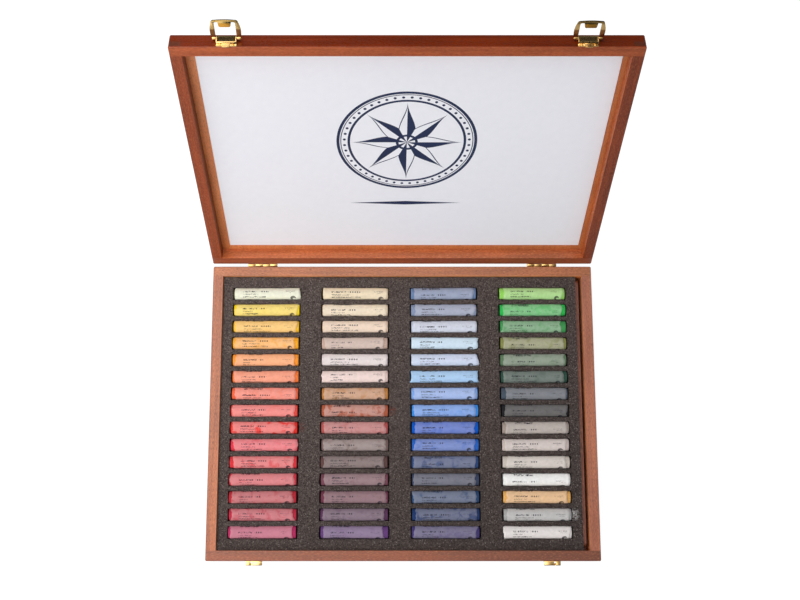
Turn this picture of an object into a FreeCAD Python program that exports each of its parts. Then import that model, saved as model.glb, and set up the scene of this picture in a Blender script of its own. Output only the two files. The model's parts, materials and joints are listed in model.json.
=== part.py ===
import FreeCAD, Part
import os

# A hinged wooden case that holds soft pastels in four columns. All sizes are in millimetres.
# Origin: centre of the underside. +X is right, +Y towards the hinges, +Z up.
# The lid is built shut, then turned open about the hinge pins.

Vector = FreeCAD.Vector

# Case
base_height = 30.0
lid_height = 14.4
wall_thick = 9.7
seam_gap = 0.3            # the shut lid stands this far above the base's rim
lid_open_angle = 114.0
corner_radius = 1.5       # upright outer corners
lid_edge_radius = 1.2     # round along the lid's top edges
eased_edge = 0.5          # bevel along the rims and the base's lower edges

# Finger joints: bands where the side boards reach through the front and back boards
finger_height = 5.0
base_finger_drop = 5.0    # from the base's rim down to the first finger
base_finger_count = 2
lid_finger_drop = 1.2     # from the lid's rim up to its finger
lid_finger_count = 1

# Panels let into the boards
base_panel_thick = 3.5
lid_panel_thick = 2.8
rabbet_width = 5.0
panel_clearance = 0.15

# Liner card in the lid
card_thick = 0.5
card_margin_left = 8.0    # from the left board's inner face
card_margin_right = 4.4
card_margin_back = 7.0
card_margin_front = 6.0

# Foam, spacer strip and pastels
column_count = 4
row_count = 15
column_gap = 22.4         # foam between the pastels of neighbouring columns
row_gap = 4.0             # foam between neighbouring pastels of one column
foam_margin_x = 10.75     # foam beyond the outermost pastels, left and right
foam_margin_y = 10.5      # the same, front and back
foam_clearance = 0.3      # foam to the boards around it
foam_pad_thick = 13.7
foam_insert_thick = 9.8   # less than a pastel is thick, so that fingers can grip it
strip_thick = 3.0
strip_gap = 3.0           # open gap between the strip and the right board
strip_end_gap = 2.4       # strip's ends to the front and back boards
strip_height = 22.0
strip_end_radius = 6.0
pastel_radius = 6.3
pastel_length = 65.4
pastel_sides = 12         # the many sticks are prisms, to keep the model light
pastel_seat_gap = 0.3     # pastel above the pad
pocket_side_gap = 0.4
pocket_end_gap = 0.8

# Hinges
hinge_inset = 34.5        # from the case's side to each hinge's outer end
hinge_length = 29.2
hinge_knuckles = 4
hinge_axis_out = 1.5      # pin's axis behind the boards' back faces
knuckle_radius = 1.3
knuckle_end_gap = 0.3
knuckle_side_gap = 0.35   # barrel to the other leaf's plate
hinge_pin_radius = 0.6
pin_running_gap = 0.05
leaf_thick = 0.7
leaf_reach = 10.0         # pin's axis to the leaf's far edge
leaf_corner_cut = 1.0
screw_hole_radius = 0.9
screw_hole_offset = 9.0   # from the hinge's centre
screw_hole_reach = 6.2    # pin's axis to the holes
hole_sides = 6            # small fixing holes are cut as prisms

# Clasps: bracket and swinging loop on the lid
clasp_inset = 46.0        # from the case's side to each clasp's centre
pivot_rise = 7.5          # above the lid's rim
pivot_out = 2.4           # in front of the boards' front faces
pivot_pin_radius = 0.8
pivot_pin_proud = 0.2     # the pins are riveted flush in the eyes of the loop
bracket_half_width = 8.0  # to the outer faces of the ears
bracket_sheet = 0.7
bracket_top = 12.0        # above the lid's rim
bracket_bottom = 0.4
ear_tip_radius = 1.7
bar_rise = 2.6            # underside of the cross bar above the lid's rim
bar_height = 1.0
bar_out = 3.2
tab_half_width = 3.1
tab_drop = 1.4            # the tab hangs this far below the lid's rim
nail_hole_radius = 0.5
nail_hole_offset = 5.4    # from the clasp's centre
bracket_nail_rise = 1.6   # above the lid's rim

loop_length = 18.6        # pivot to the loop's far edge
loop_sheet = 1.1
loop_eye_radius = 1.6
loop_eye_gap = 0.3        # between the ears and the loop's eyes
loop_eye_length = 2.9
loop_inner_half = 8.3
loop_belly_half = 12.2
loop_tip_half = 10.6
loop_bar_width = 2.1
loop_corner_radius = 2.6
loop_crown = 0.5          # how far the end bar bows out
tongue_half_root = 5.3
tongue_half_tip = 4.5
tongue_length = 4.2
tongue_sheet = 0.8
tongue_bend = 15.0
tongue_corner_radius = 1.2
left_loop_swing = 0.0     # turned from straight out towards shut, at rest
right_loop_swing = 4.0

# Clasps: hooked catch on the base
catch_half_width = 7.7
catch_sheet = 0.6
catch_out = 4.2
catch_drop = 1.9          # the hook's top below the base's rim
catch_hook_height = 2.3
catch_lip_inner = 2.0     # the curled lip's end in front of the board
catch_plate_bottom = 14.0  # plate's lower edge below the base's rim
catch_slot_width = 1.9
catch_slot_offset = 2.3   # outwards from the clasp's centre
catch_nail_drop = 12.4    # below the base's rim

# Sizes and places worked out from the sizes above
column_pitch = pastel_length + column_gap
row_pitch = 2 * pastel_radius + row_gap
foam_width = (column_count - 1) * column_pitch + pastel_length + 2 * foam_margin_x
foam_depth = (row_count - 1) * row_pitch + 2 * pastel_radius + 2 * foam_margin_y
case_width = foam_clearance + foam_width + strip_thick + strip_gap + 2 * wall_thick
case_depth = foam_depth + 2 * foam_clearance + 2 * wall_thick
half_width = case_width / 2
half_depth = case_depth / 2
inner_half_width = half_width - wall_thick
inner_half_depth = half_depth - wall_thick
lid_rim = base_height + seam_gap
lid_top = lid_rim + lid_height
hinge_axis_y = half_depth + hinge_axis_out
hinge_axis_z = base_height + seam_gap / 2
hinge_x = half_width - hinge_inset - hinge_length / 2
clasp_x = half_width - clasp_inset
pivot_y = -half_depth - pivot_out
pivot_z = lid_rim + pivot_rise
foam_left = -inner_half_width + foam_clearance
foam_right = foam_left + foam_width
foam_centre_x = (foam_left + foam_right) / 2
pad_top = base_panel_thick + foam_pad_thick
foam_top = pad_top + foam_insert_thick
pastel_z = pad_top + pastel_seat_gap + pastel_radius


def box(low, high):
    """A box between two opposite corners."""
    size = [high[i] - low[i] for i in range(3)]
    return Part.makeBox(*size, Vector(*low))


def rod(radius, start, end):
    """A round rod from start to end."""
    path = Vector(*end) - Vector(*start)
    return Part.makeCylinder(radius, path.Length, Vector(*start), path)


def prism(radius, sides, start, end):
    """A straight bar with equal flat sides, its corners on the radius."""
    path = Vector(*end) - Vector(*start)
    first = path.cross(Vector(0, 0, 1)).normalize() * radius
    corners = []
    for index in range(sides):
        turn = FreeCAD.Rotation(path, 360.0 * index / sides)
        corners.append(Vector(*start) + turn.multVec(first))
    return extrude(polygon(corners), path)


def extrude(outline, path):
    """A closed wire swept along a straight path."""
    return Part.Face(outline).extrude(Vector(*path))


def polygon(points):
    """A closed wire through the points."""
    corners = [Vector(*point) for point in points]
    return Part.makePolygon(corners + corners[:1])


def edges_at(shape, height):
    """Edges that lie wholly at one height."""
    found = []
    for edge in shape.Edges:
        bounds = edge.BoundBox
        if abs(bounds.ZMin - height) < 1e-6 and abs(bounds.ZMax - height) < 1e-6:
            found.append(edge)
    return found


def upright_edges(shape):
    """Straight edges that run along Z."""
    return [edge for edge in shape.Edges if edge.BoundBox.ZLength > 0.5 * shape.BoundBox.ZLength]


def opened(shape):
    """A copy of a lid piece, turned from shut to open about the hinge pins."""
    turned = shape.copy()
    turned.rotate(Vector(0, hinge_axis_y, hinge_axis_z), Vector(1, 0, 0), -lid_open_angle)
    return turned


def save(name, shapes):
    """Write one node; a list becomes a group of separate solids."""
    shape = Part.makeCompound(shapes) if isinstance(shapes, list) else shapes
    shape.exportStep("parts/" + name + ".step")


# Boards and panels


def case_outline(bottom, top, is_lid):
    """The outer form of the base or the lid, with its corners and edges eased."""
    block = box((-half_width, -half_depth, bottom), (half_width, half_depth, top))
    block = block.makeFillet(corner_radius, upright_edges(block))
    block = block.makeChamfer(eased_edge, edges_at(block, bottom))
    if is_lid:
        return block.makeFillet(lid_edge_radius, edges_at(block, top))
    return block.makeChamfer(eased_edge, edges_at(block, top))


def finger_bands(rim, direction, drop, count):
    """Height bands, counted from the rim, that belong to the side boards."""
    bands = []
    for index in range(count):
        near = rim + direction * (drop + 2 * index * finger_height)
        far = near + direction * finger_height
        bands.append(sorted((near, far)))
    return bands


def cross_board(side, bottom, top, bands):
    """A front (-1) or back (+1) board over the full width, notched for the side boards' fingers."""
    near, far = sorted((side * half_depth, side * inner_half_depth))
    board = box((-half_width, near, bottom), (half_width, far, top))
    for low, high in bands:
        board = board.cut(box((-half_width, near, low), (-inner_half_width, far, high)))
        board = board.cut(box((inner_half_width, near, low), (half_width, far, high)))
    return board


def side_board(side, bottom, top, front, back):
    """A left (-1) or right (+1) board, whose fingers fill the notches of the other two."""
    near, far = sorted((side * half_width, side * inner_half_width))
    board = box((near, -half_depth, bottom), (far, half_depth, top))
    return board.cut(front).cut(back)


def panel_seat(bottom, top):
    """The space that a panel takes in the boards' rabbets."""
    reach_x = inner_half_width + rabbet_width
    reach_y = inner_half_depth + rabbet_width
    return box((-reach_x, -reach_y, bottom), (reach_x, reach_y, top))


def panel(bottom, top):
    """A panel that fits the seat with a little room all round."""
    reach_x = inner_half_width + rabbet_width - panel_clearance
    reach_y = inner_half_depth + rabbet_width - panel_clearance
    return box((-reach_x, -reach_y, bottom), (reach_x, reach_y, top))


def frame(bottom, top, bands, outline, seat):
    """Four boards, finger-jointed, eased outside and rabbeted for the panel."""
    front = cross_board(-1, bottom, top, bands)
    back = cross_board(1, bottom, top, bands)
    boards = {
        "front_wall": front,
        "back_wall": back,
        "left_wall": side_board(-1, bottom, top, front, back),
        "right_wall": side_board(1, bottom, top, front, back),
    }
    return {name: board.common(outline).cut(seat) for name, board in boards.items()}


def base_frame():
    bands = finger_bands(base_height, -1, base_finger_drop, base_finger_count)
    outline = case_outline(0, base_height, False)
    return frame(0, base_height, bands, outline, panel_seat(0, base_panel_thick))


def lid_frame():
    bands = finger_bands(lid_rim, 1, lid_finger_drop, lid_finger_count)
    outline = case_outline(lid_rim, lid_top, True)
    return frame(lid_rim, lid_top, bands, outline, panel_seat(lid_top - lid_panel_thick, lid_top))


def liner_card():
    """A card that lies against the inside of the lid's panel."""
    ceiling = lid_top - lid_panel_thick
    left = -inner_half_width + card_margin_left
    low = (left, -inner_half_depth + card_margin_front, ceiling - card_thick)
    high = (inner_half_width - card_margin_right, inner_half_depth - card_margin_back, ceiling)
    return box(low, high)


# Foam, strip and pastels


def column_x(column):
    """Centre of a column, counted from the left."""
    return foam_centre_x + (column - (column_count - 1) / 2) * column_pitch


def row_y(row):
    """Axis of a row, counted from the back."""
    return ((row_count - 1) / 2 - row) * row_pitch


def foam_layer(bottom, top):
    return box((foam_left, -foam_depth / 2, bottom), (foam_right, foam_depth / 2, top))


def foam_channel(column):
    """The band of the upper foam that holds one column, from front to back."""
    half_length = pastel_length / 2 + pocket_end_gap
    x = column_x(column)
    return box((x - half_length, -foam_depth / 2, pad_top), (x + half_length, foam_depth / 2, foam_top))


def pocket(column, row):
    """The cut for one pastel, through the upper foam."""
    half_length = pastel_length / 2 + pocket_end_gap
    half_breadth = pastel_radius + pocket_side_gap
    x = column_x(column)
    y = row_y(row)
    return box((x - half_length, y - half_breadth, pad_top), (x + half_length, y + half_breadth, foam_top))


def foam_rails():
    """The parts of the upper foam that run from front to back: two margins and the bars between columns."""
    channels = [foam_channel(column) for column in range(column_count)]
    return foam_layer(pad_top, foam_top).cut(Part.makeCompound(channels)).Solids


def foam_ribs(column):
    """The cross ribs of the upper foam that part the pastels of one column."""
    pockets = [pocket(column, row) for row in range(row_count)]
    return foam_channel(column).cut(Part.makeCompound(pockets)).Solids


def spacer_strip():
    """A strip of wood on edge, its upper corners rounded."""
    reach = inner_half_depth - strip_end_gap
    top = base_panel_thick + strip_height
    strip = box((foam_right, -reach, base_panel_thick), (foam_right + strip_thick, reach, top))
    corners = []
    for edge in strip.Edges:
        bounds = edge.BoundBox
        if bounds.XLength > strip_thick / 2 and bounds.ZMin > top - strip_end_radius:
            corners.append(edge)
    return strip.makeFillet(strip_end_radius, corners)


def pastel(column, row):
    """One wrapped stick, lying along X."""
    x = column_x(column)
    y = row_y(row)
    start = (x - pastel_length / 2, y, pastel_z)
    return prism(pastel_radius, pastel_sides, start, (x + pastel_length / 2, y, pastel_z))


# Hinges


def fixing_hole(radius, point, depth):
    """A hole along Y, half its depth to each side of the point."""
    x, y, z = point
    return prism(radius, hole_sides, (x, y - depth / 2, z), (x, y + depth / 2, z))


def screw_holes(side, direction):
    """Two screw holes of one leaf; direction is -1 down the base, +1 up the lid."""
    z = hinge_axis_z + direction * screw_hole_reach
    holes = []
    for end in (-1, 1):
        point = (side * hinge_x + end * screw_hole_offset, half_depth + leaf_thick / 2, z)
        holes.append(fixing_hole(screw_hole_radius, point, 2 * leaf_thick))
    return holes


def knuckle_span(side, index):
    """The X range of one knuckle, counted from the hinge's outer end."""
    pitch = hinge_length / hinge_knuckles
    outer = side * (hinge_x + hinge_length / 2)
    near = outer - side * (index * pitch + knuckle_end_gap / 2)
    far = outer - side * ((index + 1) * pitch - knuckle_end_gap / 2)
    return sorted((near, far))


def leaf_plate(side, direction):
    """The flat of a leaf against the board, its far corners cut off."""
    centre = side * hinge_x
    low_x = centre - hinge_length / 2
    high_x = centre + hinge_length / 2
    near = hinge_axis_z + direction * (knuckle_radius + knuckle_side_gap)
    far = hinge_axis_z + direction * leaf_reach
    bottom, top = sorted((near, far))
    plate = box((low_x, half_depth, bottom), (high_x, half_depth + leaf_thick, top))
    corners = [
        edge
        for edge in plate.Edges
        if edge.BoundBox.YLength > leaf_thick / 2 and abs(edge.CenterOfMass.z - far) < 1e-6
    ]
    return plate.makeChamfer(leaf_corner_cut, corners)


def hinge_leaf(side, direction, first_knuckle):
    """One leaf with every second knuckle, bored for the pin and the screws."""
    leaf = leaf_plate(side, direction)
    plate_edge = hinge_axis_z + direction * (knuckle_radius + knuckle_side_gap)
    bottom, top = sorted((hinge_axis_z, plate_edge))
    knuckles = [knuckle_span(side, index) for index in range(first_knuckle, hinge_knuckles, 2)]
    for low_x, high_x in knuckles:
        web = box((low_x, half_depth, bottom), (high_x, half_depth + leaf_thick, top))
        start = (low_x, hinge_axis_y, hinge_axis_z)
        barrel = rod(knuckle_radius, start, (high_x, hinge_axis_y, hinge_axis_z))
        leaf = leaf.fuse(web).fuse(barrel)
    is_lid_leaf = direction > 0
    bore_radius = hinge_pin_radius + (pin_running_gap if is_lid_leaf else 0)
    half = hinge_length / 2
    centre = side * hinge_x
    start = (centre - half, hinge_axis_y, hinge_axis_z)
    end = (centre + half, hinge_axis_y, hinge_axis_z)
    bore = rod(bore_radius, start, end)
    return leaf.cut(bore).cut(Part.makeCompound(screw_holes(side, direction))).removeSplitter()


def hinge_pin(side):
    """The pin, as long as the hinge."""
    centre = side * hinge_x
    half = hinge_length / 2
    place = (hinge_axis_y, hinge_axis_z)
    return rod(hinge_pin_radius, (centre - half, *place), (centre + half, *place))


# Clasps


def nail_holes(side, sheet, z):
    """Two nail holes through a sheet that lies on the boards' front face."""
    holes = []
    for end in (-1, 1):
        point = (side * clasp_x + end * nail_hole_offset, -half_depth - sheet / 2, z)
        holes.append(fixing_hole(nail_hole_radius, point, 2 * sheet))
    return holes


def bracket_ear(x_low, x_high):
    """An upright ear: square at the plate, rounded around the pivot."""
    tip = rod(ear_tip_radius, (x_low, pivot_y, pivot_z), (x_high, pivot_y, pivot_z))
    foot = lid_rim + bar_rise
    front = -half_depth - bar_out
    outline = polygon([
        (x_low, -half_depth, foot),
        (x_low, front, foot),
        (x_low, pivot_y - ear_tip_radius, pivot_z),
        (x_low, pivot_y, pivot_z + ear_tip_radius),
        (x_low, -half_depth, pivot_z + ear_tip_radius),
    ])
    return extrude(outline, (x_high - x_low, 0, 0)).fuse(tip)


def clasp_bracket(side):
    """Back plate, two ears, a cross bar between them and a tab that hangs from the bar."""
    centre = side * clasp_x
    half = bracket_half_width
    face = -half_depth
    plate = box(
        (centre - half, face - bracket_sheet, lid_rim + bracket_bottom),
        (centre + half, face, lid_rim + bracket_top),
    )
    bar = box(
        (centre - half, face - bar_out, lid_rim + bar_rise),
        (centre + half, face, lid_rim + bar_rise + bar_height),
    )
    tab = box(
        (centre - tab_half_width, face - 2 * bracket_sheet, lid_rim - tab_drop),
        (centre + tab_half_width, face - bracket_sheet, lid_rim + bar_rise),
    )
    bracket = plate.fuse(bar).fuse(tab)
    bracket = bracket.fuse(bracket_ear(centre - half, centre - half + bracket_sheet))
    bracket = bracket.fuse(bracket_ear(centre + half - bracket_sheet, centre + half))
    cuts = nail_holes(side, bracket_sheet, lid_rim + bracket_nail_rise) + pivot_pins(side)
    return bracket.cut(Part.makeCompound(cuts)).removeSplitter()


def pivot_pins(side):
    """Two stub pins through the ears and the loop's eyes."""
    pins = []
    reach = bracket_half_width + loop_eye_gap + loop_eye_length + pivot_pin_proud
    for end in (-1, 1):
        centre = side * clasp_x
        start = (centre + end * (bracket_half_width - bracket_sheet), pivot_y, pivot_z)
        pins.append(rod(pivot_pin_radius, start, (centre + end * reach, pivot_y, pivot_z)))
    return pins


def loop_outline():
    """The strap of the loop seen flat: X across, Y outwards from the pivot."""
    eye_inner = bracket_half_width + loop_eye_gap
    eye_outer = eye_inner + loop_eye_length
    shoulder = loop_length - loop_corner_radius
    tip = loop_tip_half - loop_corner_radius
    corner = loop_corner_radius * 0.7071
    left_side = Part.Arc(
        Vector(-eye_outer, 0, 0),
        Vector(-loop_belly_half, loop_length * 0.4, 0),
        Vector(-loop_tip_half, shoulder, 0),
    )
    left_corner = Part.Arc(
        Vector(-loop_tip_half, shoulder, 0),
        Vector(-tip - corner, shoulder + corner - loop_crown / 2, 0),
        Vector(-tip, loop_length - loop_crown, 0),
    )
    crown = Part.Arc(
        Vector(-tip, loop_length - loop_crown, 0),
        Vector(0, loop_length, 0),
        Vector(tip, loop_length - loop_crown, 0),
    )
    right_corner = Part.Arc(
        Vector(tip, loop_length - loop_crown, 0),
        Vector(tip + corner, shoulder + corner - loop_crown / 2, 0),
        Vector(loop_tip_half, shoulder, 0),
    )
    right_side = Part.Arc(
        Vector(loop_tip_half, shoulder, 0),
        Vector(loop_belly_half, loop_length * 0.4, 0),
        Vector(eye_outer, 0, 0),
    )
    foot = Part.LineSegment(Vector(eye_outer, 0, 0), Vector(-eye_outer, 0, 0))
    curves = (left_side, left_corner, crown, right_corner, right_side, foot)
    return Part.Wire([curve.toShape() for curve in curves])


def loop_opening():
    """The window of the loop, open towards the pivot."""
    end = loop_length - loop_bar_width
    half = loop_inner_half
    window = box((-half, -loop_eye_radius, -loop_eye_radius), (half, end, loop_eye_radius))
    corners = [
        edge
        for edge in window.Edges
        if edge.BoundBox.ZLength > loop_eye_radius and edge.CenterOfMass.y > end / 2
    ]
    return window.makeFillet(loop_corner_radius / 2, corners)


def loop_tongue():
    """A lip that points back from the end bar, bent towards the case when shut."""
    root = loop_length - loop_bar_width
    outline = polygon([
        (-tongue_half_root, root + loop_bar_width / 2, -tongue_sheet / 2),
        (tongue_half_root, root + loop_bar_width / 2, -tongue_sheet / 2),
        (tongue_half_root, root, -tongue_sheet / 2),
        (tongue_half_tip, root - tongue_length, -tongue_sheet / 2),
        (-tongue_half_tip, root - tongue_length, -tongue_sheet / 2),
        (-tongue_half_root, root, -tongue_sheet / 2),
    ])
    tongue = extrude(outline, (0, 0, tongue_sheet))
    tips = [
        edge
        for edge in tongue.Edges
        if edge.BoundBox.ZLength > tongue_sheet / 2 and edge.CenterOfMass.y < root - tongue_length / 2
    ]
    tongue = tongue.makeFillet(tongue_corner_radius, tips)
    tongue.rotate(Vector(0, root + loop_bar_width / 2, 0), Vector(1, 0, 0), tongue_bend)
    return tongue


def clasp_loop(side, swing):
    """The swinging loop: strap, two eyes and tongue, set on its pivot and turned to its rest angle."""
    strap = extrude(loop_outline(), (0, 0, loop_sheet))
    strap.translate(Vector(0, 0, -loop_sheet / 2))
    loop = strap.cut(loop_opening())
    eye_inner = bracket_half_width + loop_eye_gap
    for end in (-1, 1):
        start = (end * eye_inner, 0, 0)
        loop = loop.fuse(rod(loop_eye_radius, start, (end * (eye_inner + loop_eye_length), 0, 0)))
    loop = loop.fuse(loop_tongue())
    bore = rod(pivot_pin_radius + pin_running_gap, (-case_width, 0, 0), (case_width, 0, 0))
    loop = loop.cut(bore).removeSplitter()
    loop.rotate(Vector(0, 0, 0), Vector(0, 0, 1), 180)
    loop.rotate(Vector(0, 0, 0), Vector(1, 0, 0), swing)
    loop.translate(Vector(side * clasp_x, pivot_y, pivot_z))
    return loop


def clasp_catch(side):
    """A plate on the base whose upper edge rolls forward into a hook, slotted on its outer side."""
    centre = side * clasp_x
    low_x = centre - catch_half_width
    high_x = centre + catch_half_width
    face = -half_depth
    top = base_height - catch_drop
    bottom = top - catch_hook_height
    roll = catch_hook_height / 2
    roll_y = face - catch_out + roll
    roll_z = top - roll
    plate = box((low_x, face - catch_sheet, base_height - catch_plate_bottom), (high_x, face, top))
    shelf = box((low_x, roll_y, top - catch_sheet), (high_x, face, top))
    lip = box((low_x, roll_y, bottom), (high_x, face - catch_lip_inner, bottom + catch_sheet))
    curl = rod(roll, (low_x, roll_y, roll_z), (high_x, roll_y, roll_z))
    curl = curl.cut(rod(roll - catch_sheet, (low_x, roll_y, roll_z), (high_x, roll_y, roll_z)))
    curl = curl.cut(box((low_x, roll_y, bottom), (high_x, roll_y + roll, top)))
    catch = plate.fuse(shelf).fuse(lip).fuse(curl)
    slot_x = centre + side * catch_slot_offset
    slot = box(
        (slot_x - catch_slot_width / 2, face - catch_out, roll_z),
        (slot_x + catch_slot_width / 2, face - catch_sheet, top),
    )
    holes = nail_holes(side, catch_sheet, base_height - catch_nail_drop)
    return catch.cut(slot).cut(Part.makeCompound(holes)).removeSplitter()


def build_case():
    """Boards, panels and the lid's liner card."""
    for name, board in base_frame().items():
        save("base_" + name, board)
    save("base_bottom_panel", panel(0, base_panel_thick))
    for name, board in lid_frame().items():
        save("lid_" + name, opened(board))
    save("lid_top_panel", opened(panel(lid_top - lid_panel_thick, lid_top)))
    save("lid_liner_card", opened(liner_card()))


def build_contents():
    """Foam, spacer strip and pastels."""
    save("foam_pad", foam_layer(base_panel_thick, pad_top))
    save("foam_rails", foam_rails())
    save("spacer_strip", spacer_strip())
    for column in range(column_count):
        save("foam_ribs_column_" + str(column + 1), foam_ribs(column))
        save("pastels_column_" + str(column + 1), [pastel(column, row) for row in range(row_count)])


def build_fittings(name, side, swing):
    """The hinge and the clasp of one side."""
    save("hinge_" + name + "_base_leaf", hinge_leaf(side, -1, 0))
    save("hinge_" + name + "_lid_leaf", opened(hinge_leaf(side, 1, 1)))
    save("hinge_" + name + "_pin", hinge_pin(side))
    save("clasp_" + name + "_bracket", opened(clasp_bracket(side)))
    save("clasp_" + name + "_pivot_pins", [opened(pin) for pin in pivot_pins(side)])
    save("clasp_" + name + "_loop", opened(clasp_loop(side, swing)))
    save("clasp_" + name + "_catch", clasp_catch(side))


os.makedirs("parts", exist_ok=True)
build_case()
build_contents()
build_fittings("left", -1, left_loop_swing)
build_fittings("right", 1, right_loop_swing)
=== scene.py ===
# %% [markdown]
# # A hinged wooden case of soft pastels
# The construction is already fixed: boards, panels, foam, hinges and clasps come in as separate nodes, and
# each rides on the body it moves with. What is left is what the eye judges: stained wood under varnish,
# the cut foam, the paper rolled round each stick, the print on the liner card and the polished brass.

# %% Load the fixed frame
import json
import math
import random
import bmesh
import bpy
from mathutils import Euler, Matrix, Vector

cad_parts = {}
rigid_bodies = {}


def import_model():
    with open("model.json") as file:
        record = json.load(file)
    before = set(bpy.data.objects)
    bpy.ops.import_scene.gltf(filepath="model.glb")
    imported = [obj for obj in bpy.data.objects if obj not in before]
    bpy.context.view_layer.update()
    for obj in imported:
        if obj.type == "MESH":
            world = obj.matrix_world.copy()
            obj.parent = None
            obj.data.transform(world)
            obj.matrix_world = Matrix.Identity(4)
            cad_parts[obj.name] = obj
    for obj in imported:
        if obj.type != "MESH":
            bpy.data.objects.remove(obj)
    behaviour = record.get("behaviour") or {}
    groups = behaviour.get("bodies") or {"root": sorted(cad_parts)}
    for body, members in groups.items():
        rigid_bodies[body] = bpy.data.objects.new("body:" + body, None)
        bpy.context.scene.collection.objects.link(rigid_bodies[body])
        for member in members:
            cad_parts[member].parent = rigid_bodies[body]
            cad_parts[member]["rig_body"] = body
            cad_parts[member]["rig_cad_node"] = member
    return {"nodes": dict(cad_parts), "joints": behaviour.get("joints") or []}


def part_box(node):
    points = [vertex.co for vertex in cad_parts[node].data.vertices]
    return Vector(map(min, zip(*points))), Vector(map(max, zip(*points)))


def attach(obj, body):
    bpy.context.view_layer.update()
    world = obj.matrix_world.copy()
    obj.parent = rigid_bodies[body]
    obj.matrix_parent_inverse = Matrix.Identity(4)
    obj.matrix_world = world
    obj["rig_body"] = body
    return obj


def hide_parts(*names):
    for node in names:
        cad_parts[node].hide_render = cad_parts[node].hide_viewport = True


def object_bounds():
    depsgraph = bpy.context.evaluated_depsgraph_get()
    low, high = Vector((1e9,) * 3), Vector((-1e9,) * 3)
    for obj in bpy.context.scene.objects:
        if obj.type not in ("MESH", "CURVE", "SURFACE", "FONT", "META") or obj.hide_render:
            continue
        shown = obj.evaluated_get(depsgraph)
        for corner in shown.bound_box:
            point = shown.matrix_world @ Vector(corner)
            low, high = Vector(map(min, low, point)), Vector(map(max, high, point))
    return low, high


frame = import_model()
cad_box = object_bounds()
mm = 0.001

# %% [markdown]
# ## Colours and nodes
# Paint charts and screens give colours as sRGB hex, but a shader adds light in linear values, so one
# function turns the one into the other. A second one adds a shader node: its settings are keywords, and
# its inputs are a table in which a number is set on the socket and a socket is linked to it.

# %% Colour and node helpers


def linear(hex_colour):
    """An sRGB hex colour as linear red, green, blue and alpha."""
    channels = [int(hex_colour[start:start + 2], 16) / 255 for start in (1, 3, 5)]
    return [c / 12.92 if c <= 0.04045 else ((c + 0.055) / 1.055) ** 2.4 for c in channels] + [1.0]


def add(tree, kind, inputs=None, **settings):
    """Add one shader node with its settings, its constant inputs and its links."""
    node = tree.nodes.new("ShaderNode" + kind)
    for name, value in settings.items():
        setattr(node, name, value)
    for socket, value in (inputs or {}).items():
        if isinstance(value, bpy.types.NodeSocket):
            tree.links.new(value, node.inputs[socket])
        else:
            node.inputs[socket].default_value = value
    return node


def new_material(name):
    """An empty material and its node tree."""
    material = bpy.data.materials.new(name)
    material.use_nodes = True
    material.node_tree.nodes.clear()
    return material, material.node_tree


def wear(obj, material):
    """Give a piece or a CAD node one material all over."""
    obj.data.materials.clear()
    obj.data.materials.append(material)


print("mahogany red in linear values", [round(c, 3) for c in linear("#8a4526")])

# %% [markdown]
# ## Camera
# A view from almost straight above, a little from the front, with the lens of a short telephoto. The
# small shift stands for a frame that was cropped off centre.

# %% Camera
camera_data = bpy.data.cameras.new("camera")
for setting, value in (("sensor_width", 36), ("lens", 49.79), ("shift_x", 0.02087), ("shift_y", -0.0025)):
    setattr(camera_data, setting, value)
camera = bpy.data.objects.new("camera", camera_data)
camera.location = (-18.858 * mm, -92.576 * mm, 1107.915 * mm)
camera.rotation_euler = (math.radians(10.701), 0, 0)
bpy.context.scene.collection.objects.link(camera)
bpy.context.scene.camera = camera
bpy.context.scene.view_settings.view_transform = "Standard"
print("camera at", [round(c, 3) for c in camera.location])

# %% [markdown]
# ## Floor and surroundings
# The case stands on a white sweep: a matt floor that glows for the camera, and less in reflections, and
# still takes the case's shadow. The camera sees a white room, and an even pale light fills it. In
# reflections it is dark but for a bright ceiling, brightest at the left: without something dark to mirror,
# polished brass looks like yellow paint.

# %% Floor and world
floor_size = 6.0
bpy.ops.object.select_all(action="DESELECT")
bpy.ops.mesh.primitive_plane_add(size=floor_size, location=(0, 0, cad_box[0][2]))
floor = bpy.context.object
floor.name = "floor"
floor_white, tree = new_material("white_sweep")
seen = add(tree, "LightPath")
mirrored = add(
    tree, "Math", {0: seen.outputs["Is Camera Ray"], 1: seen.outputs["Is Glossy Ray"]}, operation="MAXIMUM")
through = add(
    tree, "Math", {0: mirrored.outputs[0], 1: seen.outputs["Is Transmission Ray"]}, operation="MAXIMUM")
paint = add(tree, "BsdfDiffuse", {"Color": linear("#e6e6e6")})
shade = add(tree, "BsdfDiffuse", {"Color": linear("#7c7c7c")})
bright = add(tree, "MapRange", {0: seen.outputs["Is Camera Ray"], 3: 0.35, 4: 0.92})
glow = add(tree, "Emission", {"Color": (1, 1, 1, 1), "Strength": bright.outputs[0]})
lit = add(tree, "AddShader", {0: shade.outputs[0], 1: glow.outputs[0]})
floor_mix = add(tree, "MixShader", {0: through.outputs[0], 1: paint.outputs[0], 2: lit.outputs[0]})
add(tree, "OutputMaterial", {"Surface": floor_mix.outputs[0]})
wear(floor, floor_white)

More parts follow.
